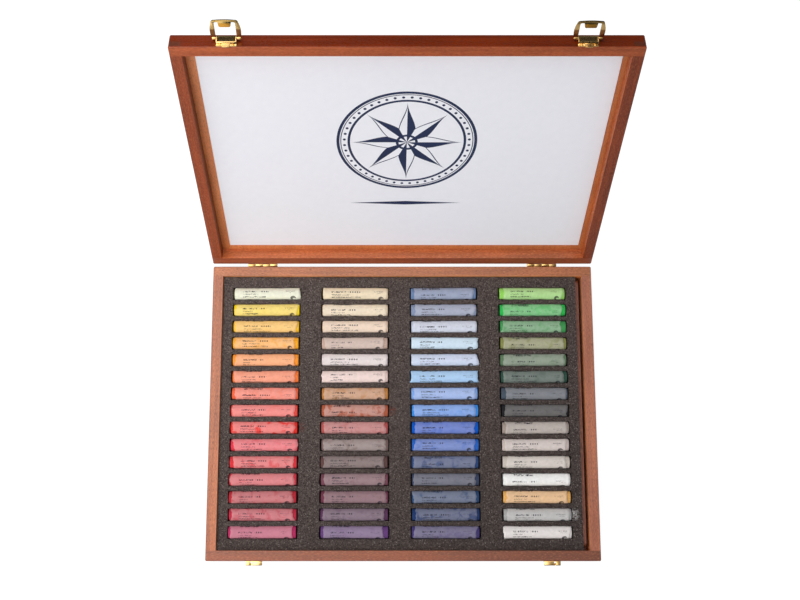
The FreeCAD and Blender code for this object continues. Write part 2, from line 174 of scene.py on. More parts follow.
world = bpy.data.worlds.new("studio")
bpy.context.scene.world = world
world.use_nodes = True
tree = world.node_tree
tree.nodes.clear()
seen = add(tree, "LightPath")
direction = add(tree, "SeparateXYZ", {0: add(tree, "TexCoord").outputs["Generated"]})
overhead = add(tree, "MapRange", {0: direction.outputs["Z"], 1: 0.60, 2: 0.92, 4: 2.1})
leftward_wall = add(tree, "MapRange", {0: direction.outputs["X"], 1: -0.20, 2: 0.22, 3: 1.38, 4: 0.18})
ceiling = add(
    tree, "Math", {0: overhead.outputs[0], 1: leftward_wall.outputs[0], 2: 0.03}, operation="MULTIPLY_ADD")
fill = add(tree, "Background", {"Color": linear("#f4f6ff"), "Strength": 0.52})
room = add(tree, "Background", {"Color": (1, 1, 1, 1), "Strength": ceiling.outputs[0]})
white = add(tree, "Background", {"Color": (1, 1, 1, 1), "Strength": 1.0})
mirror_mix = add(
    tree, "MixShader", {0: seen.outputs["Is Glossy Ray"], 1: fill.outputs[0], 2: room.outputs[0]})
camera_mix = add(
    tree, "MixShader", {0: seen.outputs["Is Camera Ray"], 1: mirror_mix.outputs[0], 2: white.outputs[0]})
add(tree, "OutputWorld", {"Surface": camera_mix.outputs[0]})
print("floor at", round(cad_box[0][2] / mm, 2), "mm")

# %% [markdown]
# ## Lamps
# One soft box stands low in front and to the left, so the rims brighten to the left and the lid's card is
# evenly lit. A wider one stands high at the back left and lays the pale sheen on the varnish.

# %% Lamps


def soft_box(name, place, aim, width, height, power):
    """A rectangular area lamp that points at aim."""
    data = bpy.data.lights.new(name, "AREA")
    data.shape = "RECTANGLE"
    data.size = width
    data.size_y = height
    data.energy = power
    lamp = bpy.data.objects.new(name, data)
    lamp.location = place
    lamp.rotation_euler = (Vector(aim) - Vector(place)).to_track_quat("-Z", "Y").to_euler()
    bpy.context.scene.collection.objects.link(lamp)
    return lamp


case_middle = (0, 0, 0.05)
soft_box("key_front_left", (-0.60, -0.80, 0.56), case_middle, 1.0, 0.9, 6.5)
soft_box("sheen_back_left", (-0.45, 0.48, 1.10), case_middle, 1.4, 1.2, 7.8)

# %% [markdown]
# ## Mahogany-stained boards
# The frames are a close-grained hardwood, stained red-brown and given a thin satin varnish. The stain
# settles in the pores, which show as short dark dashes along the board, and soaks deep into end grain,
# so the finger joints show as darker patches. One pattern is stretched along X; a Mapping node turns it
# along each board, and for the lid it also turns back the angle by which the lid stands open.

# %% Board material
lid_turn = math.radians(-frame["joints"][0]["range_deg"][0])
quarter_turn = math.radians(90)
grain_length = 70 * mm
grain_width = 3.2 * mm
pore_length = 2.8 * mm
pore_width = 0.6 * mm     # real pores are 0.2 mm wide: drawn this coarse to show at all
tone_patch = 45 * mm
# painted shade: faces that look outward are multiplied by this, which darkens them
painted_shade_outward = (0.46, 0.25, 0.05)
# painted bounce light: faces that look inward are multiplied by this, which lightens them
painted_bounce_inward = (2.10, 2.60, 2.50)


def stained_wood(name, dark, light, turn, shift, roughness=0.38, outward=None,
                 painted_facing_light=(painted_shade_outward, painted_bounce_inward), varnish=0.35, speckle=1.0, painted_falloff=(1.0, 1.0)):
    """Stained and varnished hardwood whose grain runs along X before the turn.

    Faces that look outward are painted darker, as painted shade, and those that look the other way are
    painted lighter, as painted bounce light. The tone is painted brighter at the left end of the case and
    darker at the right one, as painted light falling off from a lamp at the left.
    """
    material, tree = new_material(name)
    place = add(tree, "TexCoord")
    along = add(
        tree, "Mapping", {0: place.outputs["Object"], "Rotation": turn, "Location": (shift, shift, 0)})
    stretch = (1 / grain_length, 1 / grain_width, 1 / grain_width)
    streaks = add(tree, "Mapping", {0: along.outputs[0], "Scale": stretch})
    figure = add(tree, "TexNoise", {0: streaks.outputs[0], "Scale": 1.0, "Detail": 5.0, "Distortion": 0.5})
    pore_scale = (1 / pore_length, 1 / pore_width, 1 / pore_width)
    dashes = add(tree, "Mapping", {0: along.outputs[0], "Scale": pore_scale})
    pores = add(tree, "TexNoise", {0: dashes.outputs[0], "Scale": 1.0, "Detail": 2.0})
    pore_mask = add(tree, "MapRange", {0: pores.outputs[0], 1: 0.52, 2: 0.66})
    fleck_mask = add(tree, "MapRange", {0: pores.outputs[0], 1: 0.45, 2: 0.33, 4: 0.20 * speckle})
    patches = add(tree, "TexNoise", {0: along.outputs[0], "Scale": 1 / tone_patch, "Detail": 2.0})
    normal = add(tree, "Mapping", {0: place.outputs["Normal"], "Rotation": turn}, vector_type="NORMAL")
    across = add(tree, "SeparateXYZ", {0: normal.outputs[0]})
    facing = add(tree, "Math", {0: across.outputs["X"]}, operation="ABSOLUTE")
    end_grain = add(tree, "MapRange", {0: facing.outputs[0], 1: 0.75, 2: 0.95, 4: 0.55})
    tone = add(tree, "MapRange", {0: figure.outputs[0], 1: 0.30, 2: 0.72, 3: 0.18, 4: 0.88})
    base = add(tree, "Mix", {0: tone.outputs[0], 6: linear(dark), 7: linear(light)}, data_type="RGBA")
    patch_tone = add(tree, "MapRange", {0: patches.outputs[0], 1: 0.3, 2: 0.7, 3: 0.90, 4: 1.10})
    spot = add(tree, "SeparateXYZ", {0: place.outputs["Object"]})
    # painted light: the tone is scaled from the case's left end to its right one, brighter at the left, as
    # light falling off from a lamp there
    board_end = cad_box[1][0]
    painted_falloff_node = add(
        tree, "MapRange", {0: spot.outputs["X"], 1: -board_end, 2: board_end, 3: painted_falloff[0], 4: painted_falloff[1]})
    tone_and_painted_falloff = add(tree, "Math", {0: patch_tone.outputs[0], 1: painted_falloff_node.outputs[0]}, operation="MULTIPLY")
    varied = add(tree, "VectorMath", {0: base.outputs[2], "Scale": tone_and_painted_falloff.outputs[0]}, operation="SCALE")
    pore_depth = add(tree, "Math", {0: pore_mask.outputs[0], 1: 0.46 * speckle}, operation="MULTIPLY")
    pored = add(
        tree, "Mix", {0: pore_depth.outputs[0], 6: varied.outputs[0], 7: linear("#1c0803")}, data_type="RGBA")
    flecked = add(
        tree, "Mix", {0: fleck_mask.outputs[0], 6: pored.outputs[2], 7: linear("#e8a878")}, data_type="RGBA")
    ended = add(
        tree, "Mix", {0: end_grain.outputs[0], 6: flecked.outputs[2], 7: linear("#1d0a05")}, data_type="RGBA")
    if outward:
        towards = add(tree, "VectorMath", {0: place.outputs["Normal"], 1: outward}, operation="DOT_PRODUCT")
        outer = add(tree, "MapRange", {0: towards.outputs["Value"], 1: 0.5, 2: 0.9})
        inner = add(tree, "MapRange", {0: towards.outputs["Value"], 1: -0.5, 2: -0.9})
        # painted shade on outward faces and painted bounce light on inward ones, by the way each face looks
        deep = add(tree, "VectorMath", {0: ended.outputs[2], 1: painted_facing_light[0]}, operation="MULTIPLY")
        lit_inward = add(tree, "VectorMath", {0: ended.outputs[2], 1: painted_facing_light[1]}, operation="MULTIPLY")
        outward_shaded = add(
            tree, "Mix", {0: outer.outputs[0], 6: ended.outputs[2], 7: deep.outputs[0]}, data_type="RGBA")
        ended = add(
            tree, "Mix", {0: inner.outputs[0], 6: outward_shaded.outputs[2], 7: lit_inward.outputs[0]}, data_type="RGBA")
    satin = add(
        tree, "MapRange", {0: pores.outputs[0], 1: 0.3, 2: 0.7, 3: roughness - 0.05, 4: roughness + 0.12})
    gloss = satin
    if outward:
        polish = add(tree, "MapRange", {0: outer.outputs[0], 3: 0.0, 4: -0.13})
        gloss = add(tree, "Math", {0: satin.outputs[0], 1: polish.outputs[0]}, operation="ADD")
    relief = add(
        tree, "Bump", {"Strength": 0.35, "Distance": 0.08 * mm, "Height": pore_mask.outputs[0]}, invert=True)
    surface = add(tree, "BsdfPrincipled", {
        "Base Color": ended.outputs[2],
        "Roughness": gloss.outputs[0],
        "IOR": 1.5,
        "Specular IOR Level": 0.5 if varnish > 0.2 else 0.3,
        "Coat Weight": varnish,
        "Coat Roughness": 0.30,
        "Normal": relief.outputs[0],
    })
    add(tree, "OutputMaterial", {"Surface": surface.outputs[0]})
    return material


along_x = (0, 0, 0)
along_y = (0, 0, quarter_turn)
along_lid = (lid_turn, 0, quarter_turn)
forward = (0, -1, 0)
leftward = (-1, 0, 0)
lid_forward = tuple(Euler((-lid_turn, 0, 0)).to_matrix() @ Vector(forward))


def backwards(direction):
    """The opposite direction."""
    return tuple(-part for part in direction)


boards = {
    "base_front_wall": ("#6f310f", "#90451a", along_x, 0.11, forward),
    "base_back_wall": ("#955026", "#d07a42", along_x, 0.37, backwards(forward)),
    "base_left_wall": ("#8b4620", "#c46c38", along_y, 0.53, leftward),
    "base_right_wall": ("#8a4830", "#b86c48", along_y, 0.71, backwards(leftward)),
    "lid_front_wall": ("#8b3d19", "#bf5d2c", along_x, 0.93, lid_forward),
    "lid_back_wall": ("#78361a", "#a04c27", along_x, 0.29, backwards(lid_forward)),
    "lid_left_wall": ("#7c3414", "#a84a1c", along_lid, 0.17, leftward),
    "lid_right_wall": ("#6c2a10", "#923e16", along_lid, 0.41, backwards(leftward)),
}
# painted shading of their own: a warmer painted shade on the front wall's outer face, and painted shade
# instead of bounce light on the lid's left inner wall
own_painted_facing_light = {
    "base_front_wall": ((0.80, 0.44, 0.12), painted_bounce_inward),
    "lid_left_wall": (painted_shade_outward, (0.60, 0.60, 0.60)),
}
# painted light falloff of each board, at the left end and at the right end of the case
painted_falloffs = {
    "base_front_wall": (1.28, 0.76),
    "base_back_wall": (1.10, 0.88),
    "lid_front_wall": (1.15, 0.82),
    "lid_back_wall": (1.20, 0.88),
}
for node, (dark, light, turn, shift, outward) in boards.items():
    varnish = 0.12 if turn == along_lid or node == "lid_front_wall" else 0.35
    speckle = 0.6 if node.startswith("lid") else 1.0
    painted_facing_light = own_painted_facing_light.get(node, (painted_shade_outward, painted_bounce_inward))
    mahogany = stained_wood(
        "mahogany_" + node, dark, light, turn, shift, outward=outward, painted_facing_light=painted_facing_light,
        varnish=varnish, speckle=speckle, painted_falloff=painted_falloffs.get(node, (1.0, 1.0)))
    wear(frame["nodes"][node], mahogany)
print("boards finished:", len(boards))

# %% [markdown]
# ## Panels and spacer strip
# The panels are plywood with a plain veneer, so their grain is calmer and a little more orange than the
# solid boards. The thin strip beside the foam is stained like them and left rougher.

# %% Panel and strip materials
lid_top = tuple(Euler((-lid_turn, 0, 0)).to_matrix() @ Vector((0, 0, 1)))
# painted shade on the lid panel's outer side, nothing on its inner side, and painted light falling off to the
# right
veneer_painted_facing_light = ((0.50, 0.34, 0.24), (1.0, 1.0, 1.0))
lid_veneer = stained_wood(
    "veneer_lid_panel", "#c06a36", "#da864a", along_lid, 0.63, outward=lid_top,
    painted_facing_light=veneer_painted_facing_light, speckle=0.7, painted_falloff=(1.20, 0.86))
base_veneer = stained_wood("veneer_base_panel", "#743214", "#a2502a", along_x, 0.83)
rough_strip = stained_wood("bare_strip", "#5a2814", "#824226", along_y, 0.22, 0.6)
wear(frame["nodes"]["lid_top_panel"], lid_veneer)
wear(frame["nodes"]["base_bottom_panel"], base_veneer)
wear(frame["nodes"]["spacer_strip"], rough_strip)
print("panels and strip finished")

# %% [markdown]
# ## Printed liner card
# A pale, smooth card fills the lid. A card so large is usually printed, so it carries an eight-pointed
# compass star inside fine rings, with a short rule below, in dark blue ink. The drawing is worked out from
# the distance and angle to its centre, which keeps its edges sharp at any size.

# %% Liner card material
card_low, card_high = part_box("lid_liner_card")
card_middle = (Vector(card_low) + Vector(card_high)) / 2
lid_back = Euler((lid_turn, 0, 0)).to_matrix()
star_rise = 21.5 * mm     # star's centre above the card's middle
star_reach = 50 * mm
star_waist = 19 * mm
star_points = 8
star_curve = 0.45         # below 1, which makes the points slender
star_outline = 0.93       # the light half of each point is hollow inside this share of its reach
rings = ((51 * mm, 1.1 * mm), (58.0 * mm, 0.4 * mm), (60.5 * mm, 1.3 * mm), (8.5 * mm, 1.2 * mm))
bead_ring = 54.9 * mm
bead_count = 48
bead_radius = 1.3 * mm
rule_drop = 83 * mm       # the rule's centre, nearer the hinges than the star's centre
rule_half_length = 52 * mm
rule_half_height = 2.6 * mm

card_print, tree = new_material("coated_card_with_star")
place = add(tree, "TexCoord")
origin = lid_back @ card_middle
shift = (-origin.x, -origin.y + star_rise, -origin.z)
flat = add(tree, "Mapping", {0: place.outputs["Object"], "Rotation": (lid_turn, 0, 0), "Location": shift})
part = add(tree, "SeparateXYZ", {0: flat.outputs[0]})
disc = add(tree, "CombineXYZ", {"X": part.outputs["X"], "Y": part.outputs["Y"]})
radius = add(tree, "VectorMath", {0: disc.outputs[0]}, operation="LENGTH").outputs["Value"]
angle = add(tree, "Math", {0: part.outputs["Y"], 1: part.outputs["X"]}, operation="ARCTAN2")
turns = add(tree, "Math", {0: angle.outputs[0], 1: star_points / math.tau}, operation="MULTIPLY")
point = add(tree, "Math", {0: turns.outputs[0], 1: star_points + 0.5}, operation="ADD")
within = add(tree, "Math", {0: point.outputs[0]}, operation="FRACT")
off_axis = add(tree, "Math", {0: within.outputs[0], 1: 0.5}, operation="SUBTRACT")
spread = add(tree, "Math", {0: off_axis.outputs[0]}, operation="ABSOLUTE")
narrow = add(tree, "Math", {0: spread.outputs[0], 1: 2.0}, operation="MULTIPLY")
curve = add(tree, "Math", {0: narrow.outputs[0], 1: star_curve}, operation="POWER")
edge = add(tree, "MapRange", {0: curve.outputs[0], 3: star_reach, 4: star_waist})
in_star = add(tree, "Math", {0: radius, 1: edge.outputs[0]}, operation="LESS_THAN")
dark_half = add(tree, "Math", {0: off_axis.outputs[0], 1: 0.0}, operation="GREATER_THAN")
inner_edge = add(tree, "Math", {0: edge.outputs[0], 1: star_outline}, operation="MULTIPLY")
hollow = add(tree, "Math", {0: radius, 1: inner_edge.outputs[0]}, operation="LESS_THAN")
light_half = add(
    tree, "Math", {0: hollow.outputs[0], 1: dark_half.outputs[0]}, operation="SUBTRACT", use_clamp=True)
star = add(
    tree, "Math", {0: in_star.outputs[0], 1: light_half.outputs[0]}, operation="SUBTRACT", use_clamp=True)
ink = star.outputs[0]
for ring_radius, ring_half in rings:
    gap = add(tree, "Math", {0: radius, 1: ring_radius, 2: ring_half}, operation="COMPARE")
    ink = add(tree, "Math", {0: ink, 1: gap.outputs[0]}, operation="MAXIMUM").outputs[0]
bead_turns = add(tree, "Math", {0: angle.outputs[0], 1: bead_count / math.tau}, operation="MULTIPLY")
bead_cell = add(tree, "Math", {0: bead_turns.outputs[0], 1: bead_count * 1.0}, operation="ADD")
bead_within = add(tree, "Math", {0: bead_cell.outputs[0]}, operation="FRACT")
bead_off = add(tree, "Math", {0: bead_within.outputs[0], 1: 0.5}, operation="SUBTRACT")
bead_arc = add(
    tree, "Math", {0: bead_off.outputs[0], 1: math.tau * bead_ring / bead_count}, operation="MULTIPLY")
bead_out = add(tree, "Math", {0: radius, 1: bead_ring}, operation="SUBTRACT")
bead_vector = add(tree, "CombineXYZ", {"X": bead_arc.outputs[0], "Y": bead_out.outputs[0]})
bead_distance = add(tree, "VectorMath", {0: bead_vector.outputs[0]}, operation="LENGTH").outputs["Value"]
beads = add(tree, "Math", {0: bead_distance, 1: bead_radius}, operation="LESS_THAN")
ink = add(tree, "Math", {0: ink, 1: beads.outputs[0]}, operation="MAXIMUM").outputs[0]
rule_x = add(tree, "Math", {0: part.outputs["X"]}, operation="ABSOLUTE")
taper = add(
    tree, "MapRange", {0: rule_x.outputs[0], 1: 0.0, 2: rule_half_length, 3: rule_half_height, 4: 0.0})
rule_y = add(tree, "Math", {0: part.outputs["Y"], 1: rule_drop}, operation="SUBTRACT")
rule_off = add(tree, "Math", {0: rule_y.outputs[0]}, operation="ABSOLUTE")
rule = add(tree, "Math", {0: rule_off.outputs[0], 1: taper.outputs[0]}, operation="LESS_THAN")
ink = add(tree, "Math", {0: ink, 1: rule.outputs[0]}, operation="MAXIMUM").outputs[0]
fibre = add(tree, "TexNoise", {0: place.outputs["Object"], "Scale": 1 / (6 * mm), "Detail": 3.0})
paper = add(tree, "Mix", {0: fibre.outputs[0], 6: linear("#f0f0f3"), 7: linear("#f6f6f8")}, data_type="RGBA")
inked = add(tree, "Mix", {0: ink, 6: paper.outputs[2], 7: linear("#14264c")}, data_type="RGBA")
tooth = add(tree, "Bump", {"Strength": 0.1, "Distance": 0.02 * mm, "Height": fibre.outputs[0]})
surface = add(tree, "BsdfPrincipled", {
    "Base Color": inked.outputs[2],
    "Roughness": 0.45,
    "Normal": tooth.outputs[0],
})
add(tree, "OutputMaterial", {"Surface": surface.outputs[0]})
wear(frame["nodes"]["lid_liner_card"], card_print)
print("card", round((card_high[0] - card_low[0]) / mm, 1), "mm wide")

# %% [markdown]
# ## Working on a mesh
# The operators of Blender act on all that is selected, so each piece is first made the only selected one.
# Faces, edges and points are then picked by their place or their normal, as a modeller picks them by eye.

# %% Mesh helpers


def take(obj):
    """Make obj the only selected object and the active one."""
    bpy.ops.object.select_all(action="DESELECT")
    obj.select_set(True)
    bpy.context.view_layer.objects.active = obj
    return obj


def primitive(kind, **settings):
    """Add a plain mesh, such as a plane or a cube, and make it the only selected object."""
    getattr(bpy.ops.mesh, f"primitive_{kind}_add")(**settings)
    return take(bpy.context.object)


def box_middle(name):
    """The middle of a CAD node's box."""
    low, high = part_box(name)
    return (Vector(low) + Vector(high)) / 2


def freeze(*parts):
    """Put the active object's location, rotation or scale into its mesh."""
    chosen = {part: part in parts for part in ("location", "rotation", "scale")}
    bpy.ops.object.transform_apply(**chosen)


def edit():
    """Start to edit the active object, with all of it selected."""
    bpy.ops.object.mode_set(mode="EDIT")
    bpy.ops.mesh.select_all(action="SELECT")


def leave_edit():
    """Back to whole objects."""
    bpy.ops.object.mode_set(mode="OBJECT")


def pick(obj, kind, test):
    """In edit mode, select the verts, edges or faces that pass the test, and nothing else."""
    bpy.ops.mesh.select_mode(type=kind[:4].upper())
    bpy.ops.mesh.select_all(action="DESELECT")
    mesh = bmesh.from_edit_mesh(obj.data)
    for element in getattr(mesh, kind):
        if test(element):
            element.select_set(True)
    bmesh.update_edit_mesh(obj.data)


def apply_modifier(obj, kind, **settings):
    """Add a modifier with its settings and apply it."""
    take(obj)
    modifier = obj.modifiers.new(kind.lower(), kind)
    for name, value in settings.items():
        setattr(modifier, name, value)
    bpy.ops.object.modifier_apply(modifier=modifier.name)


def smooth(degrees):
    """Shade the active object smooth, but for edges sharper than so many degrees."""
    bpy.ops.object.shade_smooth_by_angle(angle=math.radians(degrees))


def clouds(name, size, colour=False):
    """A soft noise for the Displace modifier."""
    texture = bpy.data.textures.new(name, "CLOUDS")
    texture.noise_scale = size
    texture.cloud_type = "COLOR" if colour else "GRAYSCALE"
    return texture


def own_copy(obj):
    """A copy of an object with a mesh of its own."""
    twin = obj.copy()
    twin.data = obj.data.copy()
    bpy.context.scene.collection.objects.link(twin)
    return twin


def joined(pieces):
    """Join several objects into the first one."""
    take(pieces[0])
    for piece in pieces:
        piece.select_set(True)
    bpy.ops.object.join()
    return pieces[0]


def settle(obj, name, body, slot, *replaced):
    """Put a finished piece's place into its mesh and let it ride on its body."""
    take(obj)
    freeze("location", "rotation", "scale")
    obj.name = name
    obj.data.name = name
    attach(obj, body)
    if replaced:
        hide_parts(*replaced)
    print(name, "rides on", body, "with", len(obj.data.polygons), "faces")
    return obj


# %% [markdown]
# ## Foam
# Soft open-cell foam, die-cut so that each stick has its own pocket. All its sizes come from the boxes of
# the foam and of the sticks.

# %% Sizes of the foam and its pockets
column_names = [f"pastels_column_{number}" for number in (1, 2, 3, 4)]
rib_names = [f"foam_ribs_column_{number}" for number in (1, 2, 3, 4)]
row_count = 15
sheet_low, sheet_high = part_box("foam_rails")
first_low, first_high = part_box(column_names[0])
stick_radius = (first_high[2] - first_low[2]) / 2
stick_length = first_high[0] - first_low[0]
row_pitch = (first_high[1] - first_low[1] - 2 * stick_radius) / (row_count - 1)
stick_z = (first_high[2] + first_low[2]) / 2
back_lip = stick_radius - 0.55 * mm     # each stick lies against the back of its pocket,
front_lip = stick_radius - 0.05 * mm    # so the back lip folds over it and the front one less
pocket_half_breadth = stick_radius + 0.10 * mm
lip_depth = 1.8 * mm
row_places = [((row_count - 1) / 2 - row) * row_pitch for row in range(row_count)]
channels = [(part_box(name)[0][0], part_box(name)[1][0]) for name in rib_names]
x_cuts = [edge for channel in channels for edge in channel]
y_cuts = [row + edge for row in reversed(row_places) for edge in (-front_lip, back_lip)]
print("stick", round(stick_length / mm, 1), "mm long, rows", round(row_pitch / mm, 1), "mm apart")

# %% [markdown]
# The sheet starts as a plane. It is bisected at every pocket's edge, which leaves the pockets as faces of
# their own to delete, and what is left is divided finely. Once it has its thickness it is hollowed: below
# the lip the back wall of each pocket steps back to the stick's side, and the lip folds over the stick.

# %% Cut the foam sheet
finest = 2.6 * mm         # the longest edge left on the sheet's top
touch = 0.01 * mm         # two places nearer than this are the same one
sheet_middle = box_middle("foam_rails")


def inside_pocket(x, y):
    """Whether a point of the sheet lies over one of the pockets."""
    over_channel = any(low < x < high for low, high in channels)
    return over_channel and any(-front_lip < y - row < back_lip for row in row_places)


def divide_strip(obj, axis, low, high):
    """Divide the edges that run along an axis from low to high into short ones."""
    def spans(edge):
        """Whether an edge crosses the strip."""
        ends = [vertex.co[axis] for vertex in edge.verts]
        centred = abs((ends[0] + ends[1]) / 2 - (low + high) / 2) < touch
        return centred and abs(ends[0] - ends[1]) > 0.9 * (high - low)

    pick(obj, "edges", spans)
    cuts = math.ceil((high - low) / finest) - 1
    if cuts:
        bpy.ops.mesh.subdivide(number_cuts=cuts)


foam = primitive("plane", size=1, location=(sheet_middle.x, sheet_middle.y, sheet_high[2]))
foam.dimensions = (sheet_high[0] - sheet_low[0], sheet_high[1] - sheet_low[1], 0)
freeze("location", "scale")
edit()
for normal, places in (((1, 0, 0), x_cuts), ((0, 1, 0), y_cuts)):
    for place in places:
        bpy.ops.mesh.select_all(action="SELECT")
        bpy.ops.mesh.bisect(plane_co=Vector(normal) * place, plane_no=normal)
pick(foam, "faces", lambda face: inside_pocket(*face.calc_center_median()[:2]))
bpy.ops.mesh.delete(type="FACE")
for axis, cuts in enumerate((x_cuts, y_cuts)):
    stops = [sheet_low[axis], *cuts, sheet_high[axis]]
    for low, high in zip(stops, stops[1:]):
        divide_strip(foam, axis, low, high)
leave_edit()
print("foam sheet's top", len(foam.data.polygons), "faces")
apply_modifier(foam, "SOLIDIFY", thickness=sheet_high[2] - sheet_low[2], offset=-1)


def under_back_lip(point):
    """Whether a point lies on the back wall of a pocket, below its lip."""
    over_channel = any(low - touch < point.x < high + touch for low, high in channels)
    below_lip = point.z < sheet_high[2] - lip_depth + touch
    return over_channel and below_lip and any(abs(point.y - row - back_lip) < touch for row in row_places)


edit()
bpy.ops.mesh.bisect(plane_co=(0, 0, sheet_high[2] - lip_depth), plane_no=(0, 0, 1))
pick(foam, "verts", lambda vertex: under_back_lip(vertex.co))
bpy.ops.transform.translate(value=(0, pocket_half_breadth - back_lip, 0))
leave_edit()
print("foam hollowed under the back lips by", round((pocket_half_breadth - back_lip) / mm, 2), "mm")

# %% [markdown]
# A cut through foam is never crisp: the narrow ribs bulge and their edges wander. So the pockets' rims are
# bevelled, and a coarse and a fine noise push them about. A vertex group fades that out with depth, and
# towards the sheet's outer edges, which stay straight.

# %% Foam rims, rounded and ragged
rim_round = 0.40 * mm
ragged_depth = 2.6 * mm   # the noise has faded out this far down
calm_border = 6 * mm      # and it is full this far in from the sheet's outer edges


def border_distance(point):
    """How far a point lies inside the sheet's outer edges."""
    return min(min(point[axis] - sheet_low[axis], sheet_high[axis] - point[axis]) for axis in (0, 1))


def on_pocket_rim(edge):
    """An upper edge between the sheet's top and a pocket's wall."""
    middle = (edge.verts[0].co + edge.verts[1].co) / 2
    at_top = middle.z > sheet_high[2] - touch
    turns = len(edge.link_faces) == 2 and edge.calc_face_angle() > 1
    return at_top and turns and border_distance(middle) >= touch


take(foam)
edit()
pick(foam, "edges", on_pocket_rim)
bpy.ops.mesh.bevel(offset=rim_round, segments=2)
leave_edit()
rim_group = foam.vertex_groups.new(name="rim")
for vertex in foam.data.vertices:
    fade = min(1, max(0, 1 - (sheet_high[2] - vertex.co.z) / ragged_depth))
    border_fade = min(1, border_distance(vertex.co) / calm_border)
    rim_group.add([vertex.index], fade * border_fade, "REPLACE")
ragged = {"texture_coords": "LOCAL", "vertex_group": "rim", "mid_level": 0.5, "direction": "RGB_TO_XYZ"}
apply_modifier(foam, "DISPLACE", texture=clouds("bulges", 7 * mm, True), strength=1.5 * mm, **ragged)
apply_modifier(foam, "DISPLACE", texture=clouds("torn_cells", 2.2 * mm, True), strength=0.7 * mm, **ragged)
smooth(50)
settle(foam, "foam_sheet", "base", "foam", "foam_rails", *rib_names)

pad_low, pad_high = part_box("foam_pad")
pad = primitive("cube", size=1, location=box_middle("foam_pad"))
pad.dimensions = Vector(pad_high) - Vector(pad_low)
freeze("scale")
edit()
bpy.ops.mesh.subdivide(number_cuts=12)
leave_edit()
apply_modifier(pad, "BEVEL", width=0.6 * mm, segments=2, limit_method="ANGLE")
settle(pad, "foam_pad_sheet", "base", "foam", "foam_pad")

# %% [markdown]
# Foam is mostly holes: each cell's wall catches the light and its inside is black. At this distance that
# reads as a charcoal grey with pale and dark specks about a millimetre apart. It is painted paler at the back
# and at the left, as painted light falling off from the back left, and pigment has dusted it beside three of
# the sticks.

# %% Foam material
foam_grey, tree = new_material("charcoal_polyurethane_foam")
place = add(tree, "TexCoord")
cell_size = 0.8 * mm      # real cells are half this: drawn coarser to show
dust_near = 1.5 * mm      # dust lies thick to here from its spot beside the pocket,
dust_far = 6.5 * mm       # and thins out to nothing here
# column, row, side (0 left, 1 right) and colour of the dust beside a stick
dusty_ends = ((3, 13, 1, "#d2d0cc"), (1, 7, 1, "#7c3020"), (0, 8, 1, "#6c2a22"))
cells = add(tree, "TexVoronoi", {0: place.outputs["Object"], "Scale": 1 / cell_size}, feature="F1")
cell_tone = add(tree, "TexWhiteNoise", {0: cells.outputs["Position"]})
speck = add(tree, "TexNoise", {0: place.outputs["Object"], "Scale": 1 / (1.6 * mm), "Detail": 3.0})
speck_tone = add(tree, "Math", {0: cell_tone.outputs["Value"], 1: speck.outputs[0]}, operation="MULTIPLY")
grey = add(
    tree, "Mix", {0: speck_tone.outputs[0], 6: linear("#2f2725"), 7: linear("#7b6e66")}, data_type="RGBA")
# painted light: the grey is made paler towards the back and the left and darker towards the front right, as
# light falling off from the back left
depth = add(tree, "SeparateXYZ", {0: place.outputs["Object"]})
fade = add(tree, "MapRange", {0: depth.outputs["Y"], 1: sheet_low[1], 2: sheet_high[1], 3: 0.88, 4: 1.30})
painted_light_from_left = add(
    tree, "MapRange", {0: depth.outputs["X"], 1: sheet_low[0], 2: sheet_high[0], 3: 1.12, 4: 0.84})
painted_light_falloff = add(tree, "Math", {0: fade.outputs[0], 1: painted_light_from_left.outputs[0]}, operation="MULTIPLY")
faded = add(tree, "VectorMath", {0: grey.outputs[2], "Scale": painted_light_falloff.outputs[0]}, operation="SCALE")
glint_noise = add(tree, "TexWhiteNoise", {0: cells.outputs["Position"]})
glint_mask = add(tree, "Math", {0: glint_noise.outputs["Value"], 1: 0.93}, operation="GREATER_THAN")
near = add(tree, "Math", {0: cells.outputs["Distance"], 1: 0.38}, operation="LESS_THAN")
glint = add(tree, "Math", {0: glint_mask.outputs[0], 1: near.outputs[0]}, operation="MULTIPLY")
glint_part = add(tree, "Math", {0: glint.outputs[0], 1: 0.45}, operation="MULTIPLY")
speckled = add(
    tree, "Mix", {0: glint_part.outputs[0], 6: faded.outputs[0], 7: linear("#b3aaa4")}, data_type="RGBA")
dust_noise = add(
    tree, "TexNoise", {0: place.outputs["Object"], "Scale": 1 / (1.6 * mm), "Detail": 4.0, "Distortion": 1.0})
dust_grain = add(tree, "MapRange", {0: dust_noise.outputs[0], 1: 0.46, 2: 0.60})
for column, row, side, dust_colour in dusty_ends:
    spot = (channels[column][side] + (2 * side - 1) * dust_near, row_places[row], sheet_high[2])
    reach = add(tree, "VectorMath", {0: place.outputs["Object"], 1: spot}, operation="DISTANCE")
    thinning = add(tree, "MapRange", {0: reach.outputs["Value"], 1: dust_near, 2: dust_far, 3: 0.75, 4: 0.0})
    dust = add(tree, "Math", {0: thinning.outputs[0], 1: dust_grain.outputs[0]}, operation="MULTIPLY")
    speckled = add(
        tree, "Mix", {0: dust.outputs[0], 6: speckled.outputs[2], 7: linear(dust_colour)}, data_type="RGBA")
pits = add(tree, "Bump", {"Strength": 0.7, "Distance": 0.25 * mm, "Height": cells.outputs["Distance"]})
surface = add(tree, "BsdfPrincipled", {
    "Base Color": speckled.outputs[2],
    "Roughness": 0.95,
    "Specular IOR Level": 0.2,
    "Normal": pits.outputs[0],
})
add(tree, "OutputMaterial", {"Surface": surface.outputs[0]})
wear(foam, foam_grey)
wear(pad, foam_grey)
print("foam cells drawn", round(cell_size / mm, 2), "mm apart")

# %% [markdown]
# ## The pastels' colours
# Sixty colours in four families, from light to deep: yellows to reds, earths to violets, blues, and greens
# to greys. The thin paper lets its stick show through, so each wrapper's colour is the pigment with a veil
# of white. The last number says how much pigment dust has smeared over the paper.

